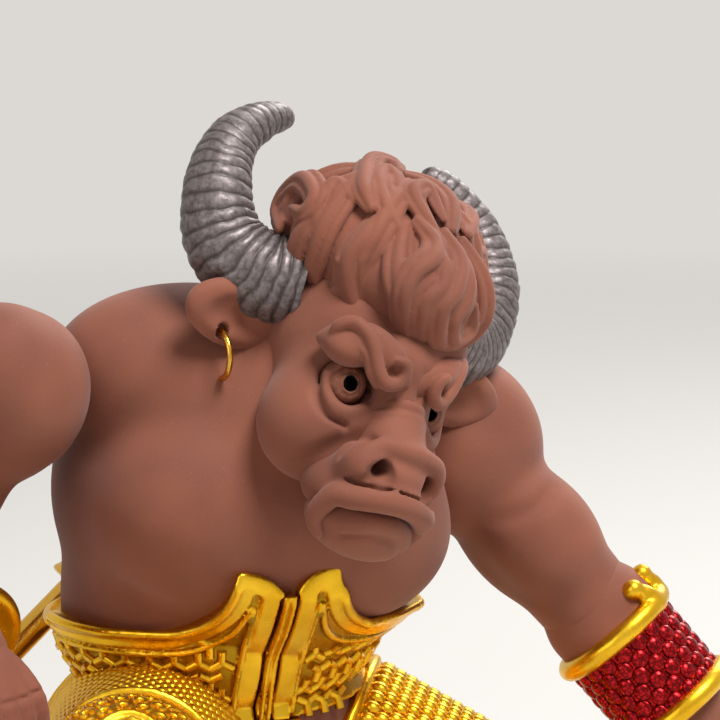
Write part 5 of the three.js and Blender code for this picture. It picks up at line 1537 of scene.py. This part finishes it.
class WARRIOR_OT_leg_armour(WarriorTool, bpy.types.Operator):
    """Models the knee guards, greaves and boots"""
    bl_idname = "warrior.leg_armour"
    bl_label = "Knee guards, greaves and boots"

    def build(self, sizes):
        for word in SIDES:
            hip, knee, ankle = LEGS[word]
            front = unit(unit(knee - hip) - unit(ankle - knee))
            across = unit(np.cross(front, unit(ankle - knee)))
            place = Frame(knee, np.column_stack([across, np.cross(front, across), front]))
            ball = egg(Frame(knee), (0, 0, 0), KNEE_GUARD)
            clay = Clay(knee - 11.5, knee + 11.5, sizes.trim_grain * BROAD)
            clay.add(shell(place, [ball], -3, 0.0, (-12, -12, -3), (12, 12, 12)), blend=0.05)

            def dome(turn, tilt, r=KNEE_GUARD):
                a, b = math.radians(turn), math.radians(tilt)
                return place.at(r * math.sin(b) * math.cos(a), r * math.sin(b) * math.sin(a),
                                r * math.cos(b))

            clay.roll([dome(15 * k, 104, 9.2) for k in range(25)], 0.7, 48, blend=0.3)
            clay.roll([dome(15 * k, 84, 9.6) for k in range(25)], 0.35, 48, blend=0.2)
            clay.add(swirl(place.at(0, 0, 9.6), place.axes[:, 2], place.axes[:, 1], 2.3, 2.2, 0.42),
                     blend=0.2)
            clay.roll([dome(15 * k, 21, 9.6) for k in range(25)], 0.38, 48, blend=0.2)
            fired("knee_guard_modelled_" + word, clay, "gilt", ["knee_guard_" + word])
            spots, downs = [], []
            for row, tilt in enumerate((29, 40, 51, 62, 73)):
                count = int(2 * math.pi * KNEE_GUARD * math.sin(math.radians(tilt)) / 2.0)
                for k in range(count):
                    turn = 360 * (k + 0.5 * (row % 2)) / count
                    spots.append(dome(turn, tilt))
                    downs.append(dome(turn, tilt + 8) - dome(turn, tilt))
            stamped("knee_scales_" + word, "curl", spots, [ball], downs, np.ones(len(spots)),
                    (0.3, 0.66, 0))
            self.greave(word, sizes)
            self.boot(word, sizes)

    def greave(self, word, sizes):
        place = shin_frame(word)
        forms = shin_forms(word)
        sheet = shell(place, forms, -0.2, 1.0, (-12, 8.5, 0), (12, 23.5, 12))
        clay = Clay(sheet[0] - 1, sheet[1] + 1, sizes.trim_grain)
        clay.add(sheet, blend=0.05)

        def around(turn, y):
            return on_limb(place, shin_forms(word, 1.0), turn, y, 16)

        for y in (9.1, 22.9):
            clay.roll([around(turn, y) for turn in range(-88, 89, 16)], 0.5, blend=0.2)
        for end in (-88, 88):
            clay.roll([around(end, y) for y in (9, 14, 19, 23)], 0.45, blend=0.2)
        clay.roll([around(0, y) for y in (9, 14, 19, 23)], 0.4, blend=0.3)
        fired("greave_modelled_" + word, clay, "gilt", ["greave_" + word])
        spots = [around((k + 0.5 * (row % 2)) * 17 - 68 - 8.5 * (row % 2), 10.9 + row * 1.75)
                 for row in range(7) for k in range(9)]
        stamped("greave_scales_" + word, "bead", spots, shin_forms(word, 1.0),
                [place.axes[:, 1]] * len(spots), np.ones(len(spots)), (1.9, 2.2, 0.7))

    def boot(self, word, sizes):
        _, knee, ankle = LEGS[word]
        heading, length = (((-3, 8, 0), 13), ((-4, -20, 0), 17))[word == "right"]
        shin_way = unit(ankle - knee)
        heel = step(ankle, heading, -3)
        heel[2] = 4.2
        start = ankle if word == "left" else heel
        toe = step(start, heading, length)
        toe[2] = 3.4
        cuff = step(ankle, shin_way, -4.9)
        box = np.array((start, toe, cuff))
        clay = Clay(box.min(0) - 9, box.max(0) + 9, sizes.trim_grain * BOOT)
        clay.add(peg(start, toe, 5.3, 4.7))
        clay.add(peg(ankle, cuff, 6.3, 6.2), blend=1.5)
        ring = limb_frame(ankle, cuff)
        for up, r, thick in ((4.9, 6.3, 0.75), (0.6, 6.4, 0.45)):
            clay.roll(circle(ring, up, r), thick, 48, blend=0.3)
        along = unit(toe - start)
        across = unit(np.cross(along, (0, 0, 1)))
        above = np.cross(across, along)
        for share in (0.45, 0.75):
            mid = start + (toe - start) * share
            band = [mid + across * 5.3 * math.cos(t) + above * 5.2 * math.sin(t)
                    for t in np.linspace(-0.2, math.pi + 0.2, 9)]
            clay.roll(band, 0.42, blend=0.25)
        clay.add(swirl(toe + above * 4.4 + along * 0.6, above + along * 0.25, -along, 1.9, 1.4, 0.5),
                 blend=0.2)
        welt = [start + (toe - start) * t + across * s * 5.5 + (0, 0, 1.6 - start[2])
                for t, s in ((0, 1), (0.5, 1), (1, 0.9))]
        clay.score([start - along * 5.6 + (0, 0, -2.4)] + welt, 0.2, blend=0.3)
        clay.keep(lambda x, y, z: SOLE - z)
        fired("boot_modelled_" + word, clay, "gilt", ["boot_" + word])


class WARRIOR_OT_bracers(WarriorTool, bpy.types.Operator):
    """Models the red sleeves and their gilt rims, the upper rim with two raised knobs"""
    bl_idname = "warrior.bracers"
    bl_label = "Bracers"

    def build(self, sizes):
        for word, side in SIDES.items():
            _, elbow, wrist = ARMS[word]
            way = unit(wrist - elbow)
            outer = np.array((0.72 * side, -0.55, 0.72))
            x = unit(outer - way * (outer @ way))
            place = Frame(elbow, np.column_stack([x, np.cross(way, x), way]))

            def tube(r, place=place):
                return peg(place.at(0, 0, -20), place.at(0, 0, 40), r)

            for label, z in (("upper", 5.2), ("lower", 16.2)):
                clay = Clay(place.at(0, 0, z) - 10.5, place.at(0, 0, z) + 10.5, sizes.trim_grain)
                clay.add(shell(place, [tube(SLEEVE + 0.2)], -6, 0, (-9, -9, z - 1.1), (9, 9, z + 1.1)),
                         blend=0.05)
                clay.roll(circle(place, z, SLEEVE + 0.1, 32), 1.2, 64, blend=0.3)
                if label == "upper":
                    for turn, up in ((28, 2.2), (-8, 2.0)):
                        a = math.radians(turn)
                        knob = place.at(6.6 * math.cos(a), 6.6 * math.sin(a), up)
                        foot = place.at(6.8 * math.cos(a - 0.25), 6.8 * math.sin(a - 0.25), z)
                        clay.roll([foot, (foot + knob) / 2 + place.axes[:, 0] * 0.5, knob],
                                  (1.2, 1.0, 0.95), blend=0.5)
                        clay.add(peg(knob, knob + unit(knob - place.at(0, 0, up)) * 0.3, 1.2), blend=0.2)
                fired("rim_modelled_%s_%s" % (label, word), clay, "gilt",
                      ["bracer_rim_%s_%s" % (label, word)])
            clay = Clay(place.at(0, 0, 10.7) - 12, place.at(0, 0, 10.7) + 12, sizes.trim_grain * HIDDEN)
            clay.add(shell(place, [tube(SLEEVE)], -6, 0, (-9, -9, 5.4), (9, 9, 16)), blend=0.05)
            fired("sleeve_modelled_" + word, clay, "lacquer", ["bracer_sleeve_" + word])
            spots = []
            for row in range(6):
                for k in range(18):
                    turn = 2 * math.pi * (k + 0.5 * (row % 2)) / 18
                    inner = SLEEVE - 0.1
                    spots.append(place.at(inner * math.cos(turn), inner * math.sin(turn), 6.9 + 1.6 * row))
            stamped("sleeve_scales_" + word, "bead", spots, [tube(SLEEVE - 0.1)],
                    [-place.axes[:, 2]] * len(spots), np.ones(len(spots)), (2.2, 2.5, 1.2), "lacquer")


# Staff and earring
class WARRIOR_OT_staff(WarriorTool, bpy.types.Operator):
    """Turns the staff with its ferrule, collar and bud, and the two rings that hold it"""
    bl_idname = "warrior.staff"
    bl_label = "Staff and rings"

    def build(self, sizes):
        place = limb_frame(STAFF_FOOT, STAFF_FOOT + STAFF_WAY)

        def clay_round(low, high, grain):
            ends = np.array((place.at(0, 0, low), place.at(0, 0, high)))
            return Clay(ends.min(0) - 4.5, ends.max(0) + 4.5, grain)

        def disc(low, high, r):
            rod = [peg(place.at(0, 0, low - 20), place.at(0, 0, high + 20), r)]
            return shell(place, rod, -r, 0, (-r - 1, -r - 1, low), (r + 1, r + 1, high))

        clay = clay_round(-26, 43, sizes.trim_grain)
        clay.add(disc(-26, 43, STAFF_RADIUS), blend=0.05)
        for z in (-24, -20, -8, 24, 28, 40):
            clay.roll(circle(place, z, 1.45), 0.3, 32, blend=0.15)
        fired("shaft_turned", clay, "brass", ["staff_shaft"], "staff")
        clay = clay_round(-31, -25, sizes.trim_grain * 0.8)
        clay.add(disc(-30.2, -26.4, STAFF_RADIUS), blend=0.05)
        clay.roll(circle(place, -26.9, 1.3), 0.4, 32, blend=0.1)
        fired("ferrule_turned", clay, "brass", ["staff_ferrule"], "staff")
        clay = clay_round(17, 22, sizes.trim_grain * 0.8)
        clay.add(disc(17.85, 20.75, 2.3), blend=0.05)
        for z in (18.35, 20.3):
            clay.roll(circle(place, z, 2.3), 0.5, 32, blend=0.15)
        fired("collar_turned", clay, "brass", ["staff_collar"], "staff")
        clay = clay_round(42.5, 55, sizes.trim_grain * 0.8)
        clay.add(disc(43.35, 44.9, 2.5), blend=0.05)
        clay.add(egg(place, (0, 0, 48.6), (3.1, 3.1, 3.5)), blend=0.5)
        clay.add(peg(place.at(0, 0, 50), place.at(0, 0, 53.6), 1.9, 0.5), blend=1.2)
        for k in range(8):
            turn = k * math.pi / 4
            c, s = math.cos(turn), math.sin(turn)
            groove = [place.at(r * c, r * s, z)
                      for r, z in ((2.4, 46), (3.3, 48.4), (2.6, 50.8), (1.2, 53))]
            clay.score(groove, 0.2, blend=0.7)
        fired("finial_modelled", clay, "brass", ["staff_finial"], "staff")
        for word, z in (("lower", 5), ("upper", 16)):
            clay = Clay(place.at(0, 0, z) - 9, place.at(0, 0, z) + 9, sizes.trim_grain)
            clay.add(disc(z - 1.45, z + 1.45, 3.1), blend=0.05)
            root = place.at(0, 0, z)
            clay.add(peg(root, step(root, (0.2, -1, -0.1), 6.6), 1.45), blend=0.5)
            for d in (-1.0, 1.0):
                clay.roll(circle(place, z + d, 3.0), 0.38, 32, blend=0.15)
            clay.cut(peg(place.at(0, 0, z - 8), place.at(0, 0, z + 8), RING_BORE), blend=0.1)
            fired("ring_modelled_" + word, clay, "brass", ["staff_ring_" + word])


class WARRIOR_OT_earring(WarriorTool, bpy.types.Operator):
    """Bends the wire hoop that hangs in the right ear"""
    bl_idname = "warrior.earring"
    bl_label = "Earring"

    def build(self, sizes):
        radius = sizes.hoop_radius / MM
        middle = EAR_HOLE - (0, 0, radius)
        points = []
        for k in range(33):
            turn = math.radians(8 + 344 * k / 32)
            points.append(middle + EAR_HOLE_WAY * radius * math.sin(turn) - (0, 0, radius * math.cos(turn)))
        grain = 0.085
        clay = Clay(middle - 3.6, middle + 3.6, grain)
        clay.roll(points, 0.31, 64, blend=0.05)
        fired("hoop_bent", clay, "brass", ["earring"], "earring")


# Stage
CAMERA_WAY, CAMERA_RIGHT = (-0.3848, -0.9065, 0.1736), (0.9205, -0.3907, 0)
CAMERA_TARGET, CAMERA_DISTANCE = HIPS + (8.179, -18.738, 49.229), 450
CAMERA_SENSOR, CAMERA_LENS = 36, 202.5


class WARRIOR_OT_stage(WarriorTool, bpy.types.Operator):
    """Sets the pale floor, the soft lights and the camera"""
    bl_idname = "warrior.stage"
    bl_label = "Floor, lights and camera"

    def build(self, sizes):
        scene = bpy.context.scene
        scene.view_settings.view_transform = "Standard"
        floor = bpy.data.meshes.new("floor")
        side = 0.7
        floor.from_pydata([(-side, -side, 0), (side, -side, 0), (side, side, 0), (-side, side, 0)], [],
                          [(0, 1, 2, 3)])
        finish, tree, shader, place = new_finish("plain_paper_floor", Roughness=0.9, Specular_IOR_Level=0.2,
                                                 Base_Color=linear(scene.warrior_colours.floor))
        # the paper runs out softly into the backdrop, from 0.22 m to 0.6 m away
        reach_out = add_node(tree, "ShaderNodeVectorMath", {"operation": "LENGTH"},
                             _0=place).outputs["Value"]
        gone = ranged(tree, reach_out, 0.22, 0.6)
        clear = add_node(tree, "ShaderNodeBsdfTransparent")
        both = add_node(tree, "ShaderNodeMixShader", _0=gone, _1=shader.outputs[0], _2=clear.outputs[0])
        out = next(node for node in tree.nodes if node.type == "OUTPUT_MATERIAL")
        tree.links.new(both.outputs[0], out.inputs["Surface"])
        floor.materials.append(finish)
        made = placed("floor", floor)
        self.light("key", (0.10, -0.26, 0.56), (-0.003, 0.0, 0.06), 0.24, 3.9)
        self.light("fill", (-0.46, -0.24, 0.24), (0.0, 0.0, 0.05), 0.36, 0.5)
        self.light("back", (0.34, 0.28, 0.36), (0.0, 0.0, 0.06), 0.26, 1.5)
        world = bpy.data.worlds.new("studio")
        world.use_nodes = True
        tree = world.node_tree
        tree.nodes.clear()
        path = add_node(tree, "ShaderNodeLightPath").outputs
        seen = add_node(tree, "ShaderNodeMath", {"operation": "MAXIMUM"}, _0=path["Is Camera Ray"],
                        _1=path["Is Glossy Ray"])
        seen = add_node(tree, "ShaderNodeMath", {"operation": "MAXIMUM"}, _0=seen.outputs[0],
                        _1=path["Is Transmission Ray"])
        plain = add_node(tree, "ShaderNodeBackground", Color=linear("#ffffff"), Strength=0.14)
        shown = add_node(tree, "ShaderNodeBackground", Color=linear("#dcd9d4"), Strength=1.0)
        mix = add_node(tree, "ShaderNodeMixShader", _0=seen.outputs[0], _1=plain.outputs[0],
                       _2=shown.outputs[0])
        add_node(tree, "ShaderNodeOutputWorld", Surface=mix.outputs[0])
        scene.world = world
        lens = bpy.data.cameras.new("photo_view")
        lens.sensor_width = CAMERA_SENSOR
        lens.lens = CAMERA_LENS
        lens.clip_start = 0.01
        camera = placed("photo_view", lens)
        back, right = unit(CAMERA_WAY), unit(CAMERA_RIGHT)
        axes = Matrix(np.column_stack([right, np.cross(back, right), back]).tolist())
        spot = CAMERA_TARGET + CAMERA_DISTANCE * back
        camera.matrix_world = Matrix.Translation(Vector(spot * MM)) @ axes.to_4x4()
        scene.camera = camera

    def light(self, name, place, target, size, power):
        lamp = bpy.data.lights.new(name, "AREA")
        lamp.shape = "DISK"
        lamp.size = size
        lamp.energy = power
        made = placed(name, lamp)
        made.location = place
        made.rotation_euler = (Vector(target) - Vector(place)).to_track_quat("-Z", "Y").to_euler()


class WARRIOR_OT_finish_nodes(WarriorTool, bpy.types.Operator):
    """Gives every CAD node that stays its real finish"""
    bl_idname = "warrior.finish_nodes"
    bl_label = "Finish the frame"

    def build(self, sizes):
        slots = {part["node"]: part["material_slot"] for part in frame["record"]["subparts"]}
        for name, made in frame["nodes"].items():
            if name in slots and made.data is not None:
                made.data.materials.clear()
                made.data.materials.append(finish_of(slots[name]))


class WARRIOR_PT_panel(bpy.types.Panel):
    """Lists the builders"""
    bl_idname = "WARRIOR_PT_panel"
    bl_label = "Kneeling warrior"
    bl_space_type = "VIEW_3D"
    bl_region_type = "UI"
    bl_category = "Warrior"

    def draw(self, context):
        for name in ("body_grain", "head_grain", "trim_grain", "horn_radius", "horn_ribs", "scale_pitch",
                     "hoop_radius"):
            self.layout.prop(context.scene.warrior_sizes, name)
        for tool in TOOLS:
            self.layout.operator(tool.bl_idname)


TOOLS = (WARRIOR_OT_stage, WARRIOR_OT_finish_nodes, WARRIOR_OT_trunk, WARRIOR_OT_arms, WARRIOR_OT_hands,
         WARRIOR_OT_legs, WARRIOR_OT_head, WARRIOR_OT_eyes, WARRIOR_OT_muzzle, WARRIOR_OT_brows,
         WARRIOR_OT_hair, WARRIOR_OT_horns, WARRIOR_OT_corset, WARRIOR_OT_skirt, WARRIOR_OT_leg_armour,
         WARRIOR_OT_bracers, WARRIOR_OT_staff, WARRIOR_OT_earring)
CLASSES = (WarriorSizes, WarriorColours, *TOOLS, WARRIOR_PT_panel)


def register():
    for kind in CLASSES:
        bpy.utils.register_class(kind)
    bpy.types.Scene.warrior_sizes = bpy.props.PointerProperty(type=WarriorSizes)
    bpy.types.Scene.warrior_colours = bpy.props.PointerProperty(type=WarriorColours)


def unregister():
    del bpy.types.Scene.warrior_sizes
    del bpy.types.Scene.warrior_colours
    for kind in reversed(CLASSES):
        bpy.utils.unregister_class(kind)


def main():
    register()
    for tool in TOOLS:
        group, name = tool.bl_idname.split(".")
        getattr(getattr(bpy.ops, group), name)()


if __name__ == "__main__":
    main()
